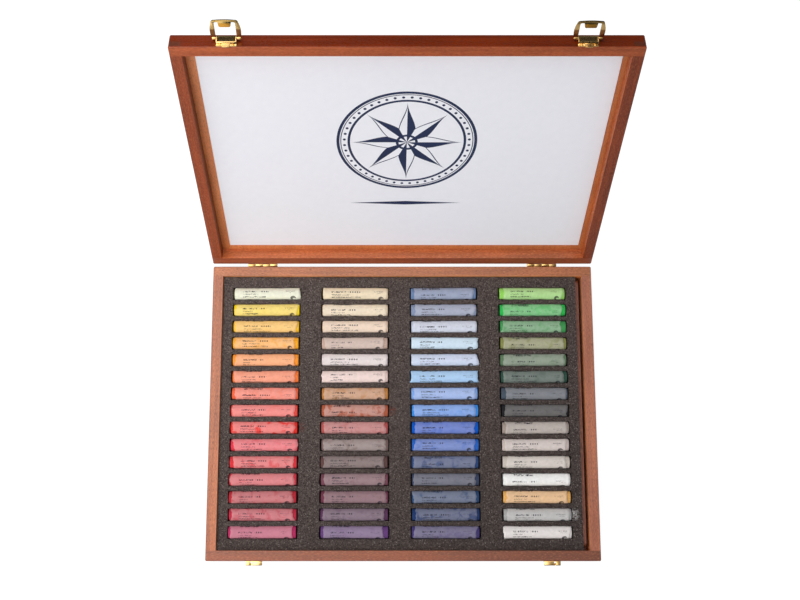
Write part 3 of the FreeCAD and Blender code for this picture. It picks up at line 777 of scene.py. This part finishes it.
# %% Palette
palette = {
    "pastels_column_1": [
        ("ivory", "#f2f4d4", 0.0), ("lemon", "#ffdc00", 0.1), ("warm yellow", "#ffc21e", 0.1),
        ("golden yellow", "#ffae24", 0.5), ("amber", "#ff9a30", 0.1), ("orange", "#f87c38", 0.1),
        ("coral", "#f4663e", 0.3), ("scarlet", "#f04c40", 0.2), ("vermilion", "#ea3024", 0.9),
        ("rose crimson", "#e43448", 0.3), ("poppy red", "#dc343c", 0.6), ("carmine", "#d03442", 0.2),
        ("ruby", "#b62834", 0.5), ("crimson", "#bc2a40", 0.5), ("magenta", "#b82c5e", 0.1),
    ],
    "pastels_column_2": [
        ("cream yellow", "#f2dcae", 0.0), ("cream", "#f4dfba", 0.0), ("pale peach", "#f2d4b4", 0.0),
        ("warm taupe", "#caac9a", 0.1), ("lilac white", "#e6d8d2", 0.0), ("shell pink", "#f0d2c6", 0.0),
        ("ochre", "#c08040", 0.5), ("burnt sienna", "#b25c3e", 0.9), ("red earth", "#b65450", 0.4),
        ("grey brown", "#7a625c", 0.5), ("umber", "#604440", 0.5), ("mauve brown", "#744450", 0.3),
        ("dusty rose", "#703648", 0.2), ("aubergine", "#5a3454", 0.3), ("violet", "#643e76", 0.2),
    ],
    "pastels_column_3": [
        ("slate blue", "#7088ae", 0.2), ("grey blue", "#8a98b4", 0.0), ("mist blue", "#cad2e2", 0.0),
        ("ice blue", "#c8e6f6", 0.0), ("powder blue", "#c4d4ee", 0.0), ("sky blue", "#8cc4f0", 0.1),
        ("periwinkle", "#82aae6", 0.1), ("azure", "#3c8ee2", 0.3), ("ultramarine light", "#0057c0", 0.3),
        ("ultramarine", "#2864be", 0.4), ("prussian", "#2c4676", 0.6), ("indigo grey", "#36405a", 0.2),
        ("deep blue grey", "#28466e", 0.7), ("night blue", "#1c3666", 0.7), ("blue violet", "#42386e", 0.3),
    ],
    "pastels_column_4": [
        ("lime", "#9adc62", 0.2), ("bright green", "#2cbe50", 0.4), ("leaf green", "#449c54", 0.5),
        ("olive", "#868a4a", 0.5), ("sage", "#5e7c5a", 0.3), ("viridian", "#2e5042", 0.3),
        ("blue grey", "#485460", 0.1), ("charcoal", "#1e1e20", 0.2), ("stone", "#a29488", 0.0),
        ("warm grey", "#c9bab0", 0.0), ("cream white", "#ccc2b4", 0.0), ("white", "#f2f2ec", 0.0),
        ("gold ochre", "#e4ac5e", 0.1), ("silver grey", "#a8a8a4", 0.1), ("pearl", "#e0d9d2", 0.0),
    ],
}
print("colours", sum(len(rows) for rows in palette.values()))

# %% [markdown]
# ## One stick of pigment
# A pressed stick is a plain round bar, so it starts as a cylinder laid along X. Its ends are bevelled, as
# soft pigment never keeps a sharp edge, and inset so that the crumbled face gets a slight hollow.

# %% Stick of pigment
bare_radius = stick_radius - 0.45 * mm
stick_shift = 0.4 * mm    # how far a stick lies off the middle of its pocket
stick = primitive(
    "cylinder", vertices=28, radius=bare_radius, depth=stick_length - 2 * stick_shift,
    rotation=(0, quarter_turn, 0))
freeze("rotation")
edit()
pick(stick, "faces", lambda face: abs(face.normal.x) > 0.9)
bpy.ops.mesh.bevel(offset=0.8 * mm, segments=3, affect="EDGES")
pick(stick, "faces", lambda face: abs(face.normal.x) > 0.99)
bpy.ops.mesh.inset(thickness=1.6 * mm)
bpy.ops.transform.resize(value=(0.998, 1, 1))
leave_edit()
smooth(40)
print("stick", round(stick.dimensions.x / mm, 1), "by", round(stick.dimensions.y / mm, 1), "mm")

# %% [markdown]
# ## One paper wrapper
# The real wrapper is a slip of thin paper rolled round the stick a little more than once. So it is modelled
# as that: a flat grid stands on edge, leans by a hair and is bent by more than a full turn, so that its
# lower edge ends up under its upper one. The grid's UV map stays flat, which is what the print needs.

# %% Rolling the paper
paper_radius = stick_radius - 0.20 * mm
paper_overlap = 3.5 * mm
paper_lift = 0.16 * mm
paper_thickness = 0.12 * mm
paper_length = 60 * mm
torn_reach = 8 * mm       # how far in from its ends a wrapper is torn
girth = math.tau * paper_radius + paper_overlap
wrapper = primitive("grid", x_subdivisions=28, y_subdivisions=36, size=1, rotation=(quarter_turn, 0, 0))
wrapper.dimensions = (paper_length, girth, 0)
freeze("rotation", "scale")
wrapper.rotation_euler.x = math.atan(paper_lift / girth)
freeze("rotation")
apply_modifier(wrapper, "SIMPLE_DEFORM", deform_method="BEND", deform_axis="X", angle=girth / paper_radius)
wrapper.location.y = -paper_radius
freeze("location")
wrapper.rotation_euler.x = -quarter_turn
freeze("rotation")
end_group = wrapper.vertex_groups.new(name="ends")
for vertex in wrapper.data.vertices:
    near_end = max(0.0, 1 - (paper_length / 2 - abs(vertex.co.x)) / torn_reach)
    end_group.add([vertex.index], near_end ** 2, "REPLACE")
print("paper slip", round(girth / mm, 1), "mm round, rolled", [round(d / mm, 1) for d in wrapper.dimensions])


def tag(obj, pigment, smear, seed):
    """Write the stick's colour, its smears and its own number on every point of the mesh."""
    count = len(obj.data.vertices)
    colour = obj.data.attributes.new("pigment", "FLOAT_COLOR", "POINT")
    colour.data.foreach_set("color", (linear(pigment)[:3] + [1.0]) * count)
    for name, value in (("smear", smear), ("stick_number", seed)):
        attribute = obj.data.attributes.new(name, "FLOAT", "POINT")
        attribute.data.foreach_set("value", [value] * count)


# %% [markdown]
# ## Four columns of fifteen
# Each stick and wrapper is a copy with its own colour. Nobody lays sixty sticks down alike, so each is
# moved and turned a little in its pocket, and the paper is not always at the same place on its stick. The
# papers of the pale sticks are longer, so that they leave less of the pigment bare.

# %% Fill the columns
rng = random.Random(15)
sticks_by_column = {}
papers_by_column = {}
for name in column_names:
    low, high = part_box(name)
    middle_x = (low[0] + high[0]) / 2
    sticks = []
    papers = []
    for row, (_, pigment, smear) in enumerate(palette[name]):
        stick_x = middle_x + rng.uniform(-0.9, 0.9) * stick_shift
        place = Vector((stick_x, row_places[row] + rng.uniform(-0.12, 0.12) * mm, stick_z))
        tilt = math.radians(rng.uniform(-0.45, 0.45))
        pale = sum(linear(pigment)[:3]) / 3 > 0.55
        cover = stick_length - (rng.uniform(1.2, 2.4) if pale else rng.uniform(4.8, 7.0)) * mm
        slide = 0 if pale else rng.uniform(-1.1, 0.7) * mm
        roll = rng.uniform(-1.2, 1.2) * mm if rng.random() > 0.12 else 2.6 * mm
        bar = own_copy(stick)
        bar.location = place
        bar.rotation_euler = (0, 0, tilt)
        slip = own_copy(wrapper)
        slip.location = place + Vector((slide, 0, 0))
        slip.rotation_euler = (roll / paper_radius, 0, tilt)
        slip.scale.x = cover / paper_length
        for piece in (bar, slip):
            tag(piece, pigment, smear, row + row_count * column_names.index(name))
        sticks.append(bar)
        papers.append(slip)
    sticks_by_column[name] = settle(joined(sticks), name + "_sticks", name, name, name)
    papers_by_column[name] = settle(joined(papers), name + "_papers", name, name)
for template in (stick, wrapper):
    bpy.data.objects.remove(template)

# %% [markdown]
# With the fifteen wrappers of a column in one mesh, soft noises skew, tear and flare their ends and crease
# them all over. A noise differs from place to place, so no two wrappers come out the same.

# %% Crease and tear the wrappers
paper_noises = (
    (clouds("skewed_ends", 14 * mm), 6.5, {"direction": "X", "vertex_group": "ends"}),
    (clouds("torn_ends", 2.6 * mm), 2.2, {"direction": "X", "vertex_group": "ends"}),
    (clouds("flared_ends", 22 * mm), 1.2, {"vertex_group": "ends", "mid_level": 0.38}),
    (clouds("creases", 9 * mm), 0.34, {}),
    (clouds("crumples", 3 * mm), 0.12, {}),
)
for papers in papers_by_column.values():
    for texture, strength, where in paper_noises:
        apply_modifier(papers, "DISPLACE", texture=texture, strength=strength * mm, **where)
    apply_modifier(papers, "SOLIDIFY", thickness=paper_thickness, offset=0)
    bpy.ops.object.shade_smooth()
print("wrappers of a column", len(papers.data.polygons), "faces")

# %% [markdown]
# ## Pigment
# Soft pastel is nearly pure pigment with a trace of binder: dead matt, with a dry, slightly pitted skin. The
# colour comes from the attribute that was written on each stick.

# %% Pigment material
chalk, tree = new_material("pressed_soft_pastel")
place = add(tree, "TexCoord")
own_colour = add(tree, "Attribute", attribute_name="pigment")
grit = add(tree, "TexNoise", {0: place.outputs["Object"], "Scale": 1 / (0.8 * mm), "Detail": 4.0})
grit_tone = add(tree, "MapRange", {0: grit.outputs[0], 1: 0.3, 2: 0.7, 3: 0.86, 4: 1.08})
dry = add(
    tree, "VectorMath", {0: own_colour.outputs["Color"], "Scale": grit_tone.outputs[0]}, operation="SCALE")
pitted = add(tree, "Bump", {"Strength": 0.4, "Distance": 0.12 * mm, "Height": grit.outputs[0]})
surface = add(tree, "BsdfPrincipled", {
    "Base Color": dry.outputs[0],
    "Roughness": 0.9,
    "Specular IOR Level": 0.25,
    "Normal": pitted.outputs[0],
})
add(tree, "OutputMaterial", {"Surface": surface.outputs[0]})
for sticks in sticks_by_column.values():
    wear(sticks, chalk)
print("pigment on", len(sticks_by_column), "columns")

# %% [markdown]
# ## Printed paper
# Thin uncoated paper, tinted by the stick under it. Each slip is printed with lines too small to read, so
# rows of tiny marks stand for them: a broken line with a row of dots, a short code at the right, two more
# lines below, a bold one at the back, and a dark crescent as a plain ornament. The marks are drawn on the
# paper's own UV map. The paper adds a veil of white to the pigment under it, and less over a dark stick.

# %% Paper material
paper_tint, tree = new_material("thin_printed_paper")
own_colour = add(tree, "Attribute", attribute_name="pigment")
smear_level = add(tree, "Attribute", attribute_name="smear")
stick_number = add(tree, "Attribute", attribute_name="stick_number")
uv_place = add(tree, "UVMap")
slip_size = (paper_length / mm, -girth / mm, 1)
slip_start = (0, girth / mm / 2, 0)
in_mm = add(
    tree, "VectorMath", {0: uv_place.outputs[0], 1: slip_size, 2: slip_start}, operation="MULTIPLY_ADD")
slip = add(tree, "SeparateXYZ", {0: in_mm.outputs[0]})
along, around = slip.outputs["X"], slip.outputs["Y"]
layer_gap = 7.31          # each slip reads the noises at a height of its own, so many units apart
own_shift = add(tree, "Math", {0: stick_number.outputs["Fac"], 1: layer_gap}, operation="MULTIPLY")
moved = add(tree, "CombineXYZ", {"X": along, "Y": around, "Z": own_shift.outputs[0]})

letter_scale = add(tree, "VectorMath", {0: moved.outputs[0], 1: (2.2, 2.4, 1.0)}, operation="MULTIPLY")
letter_cells = add(tree, "VectorMath", {0: letter_scale.outputs[0]}, operation="FLOOR")
letters = add(tree, "TexWhiteNoise", {0: letter_cells.outputs[0]})
blank_share = 0.42        # of the letters' cells, so many stay blank
letter_mask = add(
    tree, "Math", {0: letters.outputs["Value"], 1: blank_share}, operation="GREATER_THAN").outputs[0]
word_scale = add(tree, "VectorMath", {0: moved.outputs[0], 1: (0.5, 0.4, 1.0)}, operation="MULTIPLY")
word_cells = add(tree, "VectorMath", {0: word_scale.outputs[0]}, operation="FLOOR")
words = add(tree, "TexWhiteNoise", {0: word_cells.outputs[0]})
word_mask = add(tree, "MapRange", {0: words.outputs["Value"], 1: 0.15, 2: 0.45, 3: 0.25, 4: 1.1})
letter_mask = add(tree, "Math", {0: letter_mask, 1: word_mask.outputs[0]}, operation="MULTIPLY").outputs[0]
dot_pitch = 2.2           # millimetres between the dots of the dotted row
dot_turn = add(tree, "Math", {0: along, 1: dot_pitch / 2}, operation="PINGPONG")
dot_mask = add(
    tree, "Math", {0: dot_turn.outputs[0], 1: dot_pitch * 0.25}, operation="GREATER_THAN").outputs[0]
length_noise = add(tree, "TexWhiteNoise", {"W": stick_number.outputs["Fac"]}, noise_dimensions="1D")
extra = add(tree, "Math", {0: length_noise.outputs["Value"], 1: 12.0}, operation="MULTIPLY").outputs[0]

# each line: start, end, grows with the stick, middle and half height on the paper, strength, mask
print_lines = (
    (7.5, 21.0, 0.0, -0.5, 0.75, 0.90, letter_mask),
    (23.5, 27.5, 0.6, -0.5, 0.70, 0.95, dot_mask),
    (47.0, 56.0, 0.0, -0.9, 0.50, 0.50, letter_mask),
    (50.0, 56.0, 0.0, 0.6, 0.45, 0.35, letter_mask),
    (7.5, 15.0, 1.0, 2.3, 0.70, 0.60, letter_mask),
    (7.5, 19.0, 1.4, 4.9, 0.70, 0.90, letter_mask),
    (9.0, 27.0, 0.0, -7.6, 1.60, 0.95, letter_mask),
)
ink = None
for start, end, growth, middle, half, strength, mask in print_lines:
    far = add(tree, "Math", {0: extra, 1: growth, 2: end}, operation="MULTIPLY_ADD")
    after = add(tree, "Math", {0: along, 1: start}, operation="GREATER_THAN")
    before = add(tree, "Math", {0: along, 1: far.outputs[0]}, operation="LESS_THAN")
    row = add(tree, "Math", {0: around, 1: middle, 2: half}, operation="COMPARE")
    span = add(tree, "Math", {0: after.outputs[0], 1: before.outputs[0]}, operation="MULTIPLY")
    band = add(tree, "Math", {0: span.outputs[0], 1: row.outputs[0]}, operation="MULTIPLY")
    marks = add(tree, "Math", {0: band.outputs[0], 1: mask}, operation="MULTIPLY")
    faded = add(tree, "Math", {0: marks.outputs[0], 1: strength}, operation="MULTIPLY")
    if ink is None:
        ink = faded.outputs[0]
    else:
        ink = add(tree, "Math", {0: ink, 1: faded.outputs[0]}, operation="MAXIMUM").outputs[0]

crescent_place = (54.0, 6.4, 0)
crescent_shift = (0.9, 1.0, 0)
crescent_radius = 2.4
bite_radius = 1.4         # of the smaller disc that is taken out of the crescent's
outer = add(
    tree, "VectorMath", {0: in_mm.outputs[0], 1: crescent_place}, operation="DISTANCE").outputs["Value"]
bite_centre = tuple(Vector(crescent_place) + Vector(crescent_shift))
bite = add(tree, "VectorMath", {0: in_mm.outputs[0], 1: bite_centre}, operation="DISTANCE").outputs["Value"]
in_outer = add(tree, "Math", {0: outer, 1: crescent_radius}, operation="LESS_THAN")
out_bite = add(tree, "Math", {0: bite, 1: bite_radius}, operation="GREATER_THAN")
crescent = add(tree, "Math", {0: in_outer.outputs[0], 1: out_bite.outputs[0]}, operation="MULTIPLY")
crescent_ink = add(tree, "Math", {0: crescent.outputs[0], 1: 0.85}, operation="MULTIPLY")
ink = add(tree, "Math", {0: ink, 1: crescent_ink.outputs[0]}, operation="MAXIMUM").outputs[0]

lightness = add(tree, "RGBToBW", {0: own_colour.outputs["Color"]})
veil = add(tree, "MapRange", {0: lightness.outputs[0], 1: 0.03, 2: 0.20, 3: 0.15, 4: 0.26})
tinted = add(
    tree, "Mix", {0: veil.outputs[0], 6: own_colour.outputs["Color"], 7: linear("#f7f0ea")}, data_type="RGBA")
smear_noise = add(tree, "TexNoise", {0: moved.outputs[0], "Scale": 0.16, "Detail": 3.0, "Distortion": 0.6})
smear_edge = add(tree, "MapRange", {0: smear_noise.outputs[0], 1: 0.52, 2: 0.66})
smear_part = add(
    tree, "Math", {0: smear_edge.outputs[0], 1: smear_level.outputs["Fac"]}, operation="MULTIPLY")
smeared = add(
    tree, "Mix", {0: smear_part.outputs[0], 6: tinted.outputs[2], 7: own_colour.outputs["Color"]},
    data_type="RGBA")
cloudy = add(tree, "TexNoise", {0: moved.outputs[0], "Scale": 0.35, "Detail": 3.0})
cloud_tone = add(tree, "MapRange", {0: cloudy.outputs[0], 1: 0.3, 2: 0.7, 3: 0.93, 4: 1.05})
uneven = add(tree, "VectorMath", {0: smeared.outputs[2], "Scale": cloud_tone.outputs[0]}, operation="SCALE")
printed = add(tree, "Mix", {0: ink, 6: uneven.outputs[0], 7: linear("#1b1a22")}, data_type="RGBA")
fibres = add(tree, "Bump", {"Strength": 0.25, "Distance": 0.05 * mm, "Height": cloudy.outputs[0]})
surface = add(tree, "BsdfPrincipled", {
    "Base Color": printed.outputs[2],
    "Roughness": 0.7,
    "Specular IOR Level": 0.3,
    "Normal": fibres.outputs[0],
})
add(tree, "OutputMaterial", {"Surface": surface.outputs[0]})
for papers in papers_by_column.values():
    wear(papers, paper_tint)
print("print lines", len(print_lines))

# %% [markdown]
# ## Polished brass
# The hinges and clasps are pressed from thin brass and polished. Brass is a metal, so its colour lives in its
# reflection, with fine rubbing marks that vary the gloss. A loop is pressed a little round from end to end.
# Its tongue is duller from use. Its arms are painted brown, as a painted reflection of the wood, and its end
# bar dark olive, as a painted reflection of the dark surroundings.

# %% Brass material
crowns = {"left": math.radians(5), "right": math.radians(4)}    # how far a loop leans off flat at its ends
crown_reach = 8.0         # millimetres from its middle to there
tongue_middle = 4.9       # the tongue's middle, millimetres above the loop's
tongue_half_height = 2.5
tongue_half_width = 5.2
# painted reflections on the loop's arms and end bar, in place of the wood and the dark room they mirror
arm_reflection_end, arm_reflection_full = 1.8, 0.4      # millimetres from its middle: the arms' painted reflection of the wood starts and is full, and fades again before the eyes
eye_reflection_full, eye_reflection_end = -6.6, -7.4    # and fades again before the eyes, which rub on their pins
bar_reflection_start, bar_reflection_full = 6.6, 7.6      # the same on the end bar


def polished_brass(name, middle=None, direction=None, crown=0.0, gloss=(0.17, 0.27)):
    """Polished brass. A loop's, for which its middle is given, is also crowned, dulled, and painted with
    reflections of the wood and of the dark surroundings.
    """
    material, tree = new_material(name)
    place = add(tree, "TexCoord")
    rubbed = add(tree, "TexNoise", {0: place.outputs["Object"], "Scale": 1 / (1.5 * mm), "Detail": 4.0})
    rub_gloss = add(tree, "MapRange", {0: rubbed.outputs[0], 1: 0.3, 2: 0.7, 3: gloss[0], 4: gloss[1]})
    tarnish = add(tree, "TexNoise", {0: place.outputs["Object"], "Scale": 1 / (9 * mm), "Detail": 2.0})
    metal = add(
        tree, "Mix", {0: tarnish.outputs[0], 6: linear("#daac62"), 7: linear("#ecca8c")}, data_type="RGBA")
    dents = add(tree, "Bump", {"Strength": 0.06, "Distance": 0.04 * mm, "Height": tarnish.outputs[0]})
    tint, dulled = metal.outputs[2], rub_gloss.outputs[0]
    if middle:
        from_middle = add(tree, "VectorMath", {0: place.outputs["Object"], 1: middle}, operation="SUBTRACT")
        along = add(tree, "VectorMath", {0: from_middle.outputs[0], 1: direction}, operation="DOT_PRODUCT")
        along_mm = add(tree, "Math", {0: along.outputs["Value"], 1: 1 / mm}, operation="MULTIPLY")
        squared = add(tree, "Math", {0: along_mm.outputs[0], 1: 2.0}, operation="POWER")
        drop = add(
            tree, "Math", {0: squared.outputs[0], 1: -math.tan(crown) / (2 * crown_reach)},
            operation="MULTIPLY")
        domed = add(tree, "Bump", {"Strength": 1.0, "Distance": mm, "Height": drop.outputs[0]})
        tree.links.new(domed.outputs[0], dents.inputs["Normal"])
        across = add(tree, "SeparateXYZ", {0: from_middle.outputs[0]})
        in_rows = add(
            tree, "Math", {0: along_mm.outputs[0], 1: tongue_middle, 2: tongue_half_height},
            operation="COMPARE")
        in_width = add(
            tree, "Math", {0: across.outputs["X"], 1: 0.0, 2: tongue_half_width * mm}, operation="COMPARE")
        on_tongue = add(tree, "Math", {0: in_rows.outputs[0], 1: in_width.outputs[0]}, operation="MULTIPLY")
        worn = add(tree, "Mix", {0: on_tongue.outputs[0], 6: tint, 7: linear("#c8923c")}, data_type="RGBA")
        rubbed_dull = add(tree, "MapRange", {0: on_tongue.outputs[0], 3: dulled, 4: 0.45})
        # painted reflections: brown on the arms for the wood they mirror, dark olive on the end bar for the
        # dark surroundings
        on_arms = add(tree, "MapRange", {0: along_mm.outputs[0], 1: arm_reflection_full, 2: arm_reflection_end, 3: 0.85, 4: 0.0})
        off_eyes = add(tree, "MapRange", {0: along_mm.outputs[0], 1: eye_reflection_end, 2: eye_reflection_full})
        arm_part = add(tree, "Math", {0: on_arms.outputs[0], 1: off_eyes.outputs[0]}, operation="MULTIPLY")
        on_bar = add(tree, "MapRange", {0: along_mm.outputs[0], 1: bar_reflection_start, 2: bar_reflection_full, 3: 0.0, 4: 0.6})
        wood_reflection_painted = add(
            tree, "Mix", {0: arm_part.outputs[0], 6: worn.outputs[2], 7: linear("#8a4a20")}, data_type="RGBA")
        dark_reflection_painted = add(
            tree, "Mix", {0: on_bar.outputs[0], 6: wood_reflection_painted.outputs[2], 7: linear("#6e5c24")},
            data_type="RGBA")
        tint, dulled = dark_reflection_painted.outputs[2], rubbed_dull.outputs[0]
    surface = add(tree, "BsdfPrincipled", {
        "Base Color": tint,
        "Roughness": dulled,
        "Normal": dents.outputs[0],
        "Metallic": 1.0,
    })
    add(tree, "OutputMaterial", {"Surface": surface.outputs[0]})
    return material


brass = polished_brass("polished_brass")
loop_up = lid_back.transposed() @ Vector(forward)
loop_brass = {}
for side in ("left", "right"):
    loop_middle = box_middle(f"clasp_{side}_loop")
    loop_brass[side] = polished_brass(
        f"polished_brass_loop_{side}", tuple(loop_middle), tuple(loop_up), crowns[side], (0.20, 0.28))
print("brass crowned along", [round(part, 3) for part in loop_up])

# %% [markdown]
# Pressing and polishing round every edge, and those rounds catch the light. So each fitting is a copy of its
# CAD solid, with its triangles merged into plain faces and its edges bevelled.

# %% Round the edges of the brass


def softened(node, round_width, segments=2):
    """A copy of a CAD node with merged faces and rounded edges, which replaces it."""
    twin = own_copy(frame["nodes"][node])
    twin.parent = None
    del twin["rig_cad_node"]
    take(twin)
    edit()
    bpy.ops.mesh.remove_doubles(threshold=0.002 * mm)
    bpy.ops.mesh.dissolve_limited(angle_limit=math.radians(1))
    leave_edit()
    sharp = {"limit_method": "ANGLE", "angle_limit": math.radians(40)}
    apply_modifier(twin, "BEVEL", width=round_width, segments=segments, **sharp)
    smooth(35)
    wear(twin, brass)
    return settle(twin, node + "_polished", frame["nodes"][node]["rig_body"], "brass", node)


for side in ("left", "right"):
    wear(softened(f"clasp_{side}_loop", 0.5 * mm, 4), loop_brass[side])
    for part in ("bracket", "catch"):
        softened(f"clasp_{side}_{part}", 0.15 * mm)
    for part in ("base_leaf", "lid_leaf"):
        softened(f"hinge_{side}_{part}", 0.12 * mm)
    for pin in (f"hinge_{side}_pin", f"clasp_{side}_pivot_pins"):
        wear(frame["nodes"][pin], brass)
shiny = [obj for obj in bpy.data.objects if obj.type == "MESH" and brass.name in obj.data.materials]
print("plain brass worn by", len(shiny), "pieces")

# %% [markdown]
# ## Screws and nails
# Each hinge leaf is held by two slotted screws and each clasp part by two round-headed nails. A head starts
# as a low cylinder whose upper edge is bevelled into a dome. The screw's slot is a narrow box sunk into it.

# %% Screw and nail heads


def domed_head(radius, height):
    """A low round head, standing on the origin with its dome towards +Z."""
    head = primitive("cylinder", vertices=24, radius=radius, depth=height, location=(0, 0, height / 2))
    freeze("location")
    edit()
    pick(head, "faces", lambda face: face.normal.z > 0.9)
    bpy.ops.mesh.bevel(offset=height * 0.75, segments=4, affect="EDGES")
    leave_edit()
    return head


screw_height = 0.8 * mm
screw = domed_head(1.7 * mm, screw_height)
slot_cutter = primitive("cube", size=1, location=(0, 0, screw_height))
slot_cutter.dimensions = (4 * mm, 0.45 * mm, 0.7 * mm)
freeze("location", "scale")
apply_modifier(screw, "BOOLEAN", object=slot_cutter, operation="DIFFERENCE", solver="EXACT")
bpy.data.objects.remove(slot_cutter)
nail = domed_head(1.0 * mm, 0.5 * mm)
for head in (screw, nail):
    take(head)
    smooth(40)
    wear(head, brass)
print("screw head", len(screw.data.polygons), "faces; nail head", len(nail.data.polygons))

# %% [markdown]
# A head sits on its plate, so its place comes from the plate's own box. On the lid the plate is turned with
# the lid: the place is worked out for the shut lid and then turned open about the hinge pin.

# %% Place the screws and nails
pin_low, pin_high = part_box("hinge_left_pin")
hinge_axis = Vector((0, (pin_low[1] + pin_high[1]) / 2, (pin_low[2] + pin_high[2]) / 2))
opened = Matrix.Translation(hinge_axis) @ Matrix.Rotation(-lid_turn, 4, "X") @ Matrix.Translation(-hinge_axis)
board_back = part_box("base_back_wall")[1][1]
board_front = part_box("base_front_wall")[0][1]
base_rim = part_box("base_back_wall")[1][2]
lid_rim = 2 * hinge_axis.z - base_rim
leaf_thickness = 0.7 * mm
bracket_thickness = 0.7 * mm
catch_thickness = 0.6 * mm
screw_spread = 9.0 * mm
screw_reach = 6.2 * mm
nail_spread = 5.4 * mm
bracket_nail_rise = 1.6 * mm
catch_nail_drop = 12.4 * mm


def fix(head, name, place, facing, body, turn):
    """One head at a place on the shut case, facing +1 backwards or -1 forwards, then turned with its body."""
    twin = own_copy(head)
    upright = Matrix.Rotation(-facing * quarter_turn, 4, "X")
    spin = Matrix.Rotation(rng.uniform(0, math.pi), 4, "Z")
    twin.data.transform(turn @ Matrix.Translation(place) @ upright @ spin)
    settle(twin, name, body, "brass")


shut = Matrix.Identity(4)
for side in ("left", "right"):
    leaf_low, leaf_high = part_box(f"hinge_{side}_base_leaf")
    leaf_x = (leaf_low[0] + leaf_high[0]) / 2
    catch_low, catch_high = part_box(f"clasp_{side}_catch")
    clasp_x = (catch_low[0] + catch_high[0]) / 2
    for number, end in ((1, -1), (2, 1)):
        screw_x = leaf_x + end * screw_spread
        screw_y = board_back + leaf_thickness
        low_place = (screw_x, screw_y, hinge_axis.z - screw_reach)
        high_place = (screw_x, screw_y, hinge_axis.z + screw_reach)
        fix(screw, f"hinge_{side}_base_screw_{number}", low_place, 1, "base", shut)
        fix(screw, f"hinge_{side}_lid_screw_{number}", high_place, 1, "lid", opened)
        nail_x = clasp_x + end * nail_spread
        bracket_place = (nail_x, board_front - bracket_thickness, lid_rim + bracket_nail_rise)
        catch_place = (nail_x, board_front - catch_thickness, base_rim - catch_nail_drop)
        fix(nail, f"clasp_{side}_bracket_nail_{number}", bracket_place, -1, "lid", opened)
        fix(nail, f"clasp_{side}_catch_nail_{number}", catch_place, -1, "base", shut)
for head in (screw, nail):
    bpy.data.objects.remove(head)
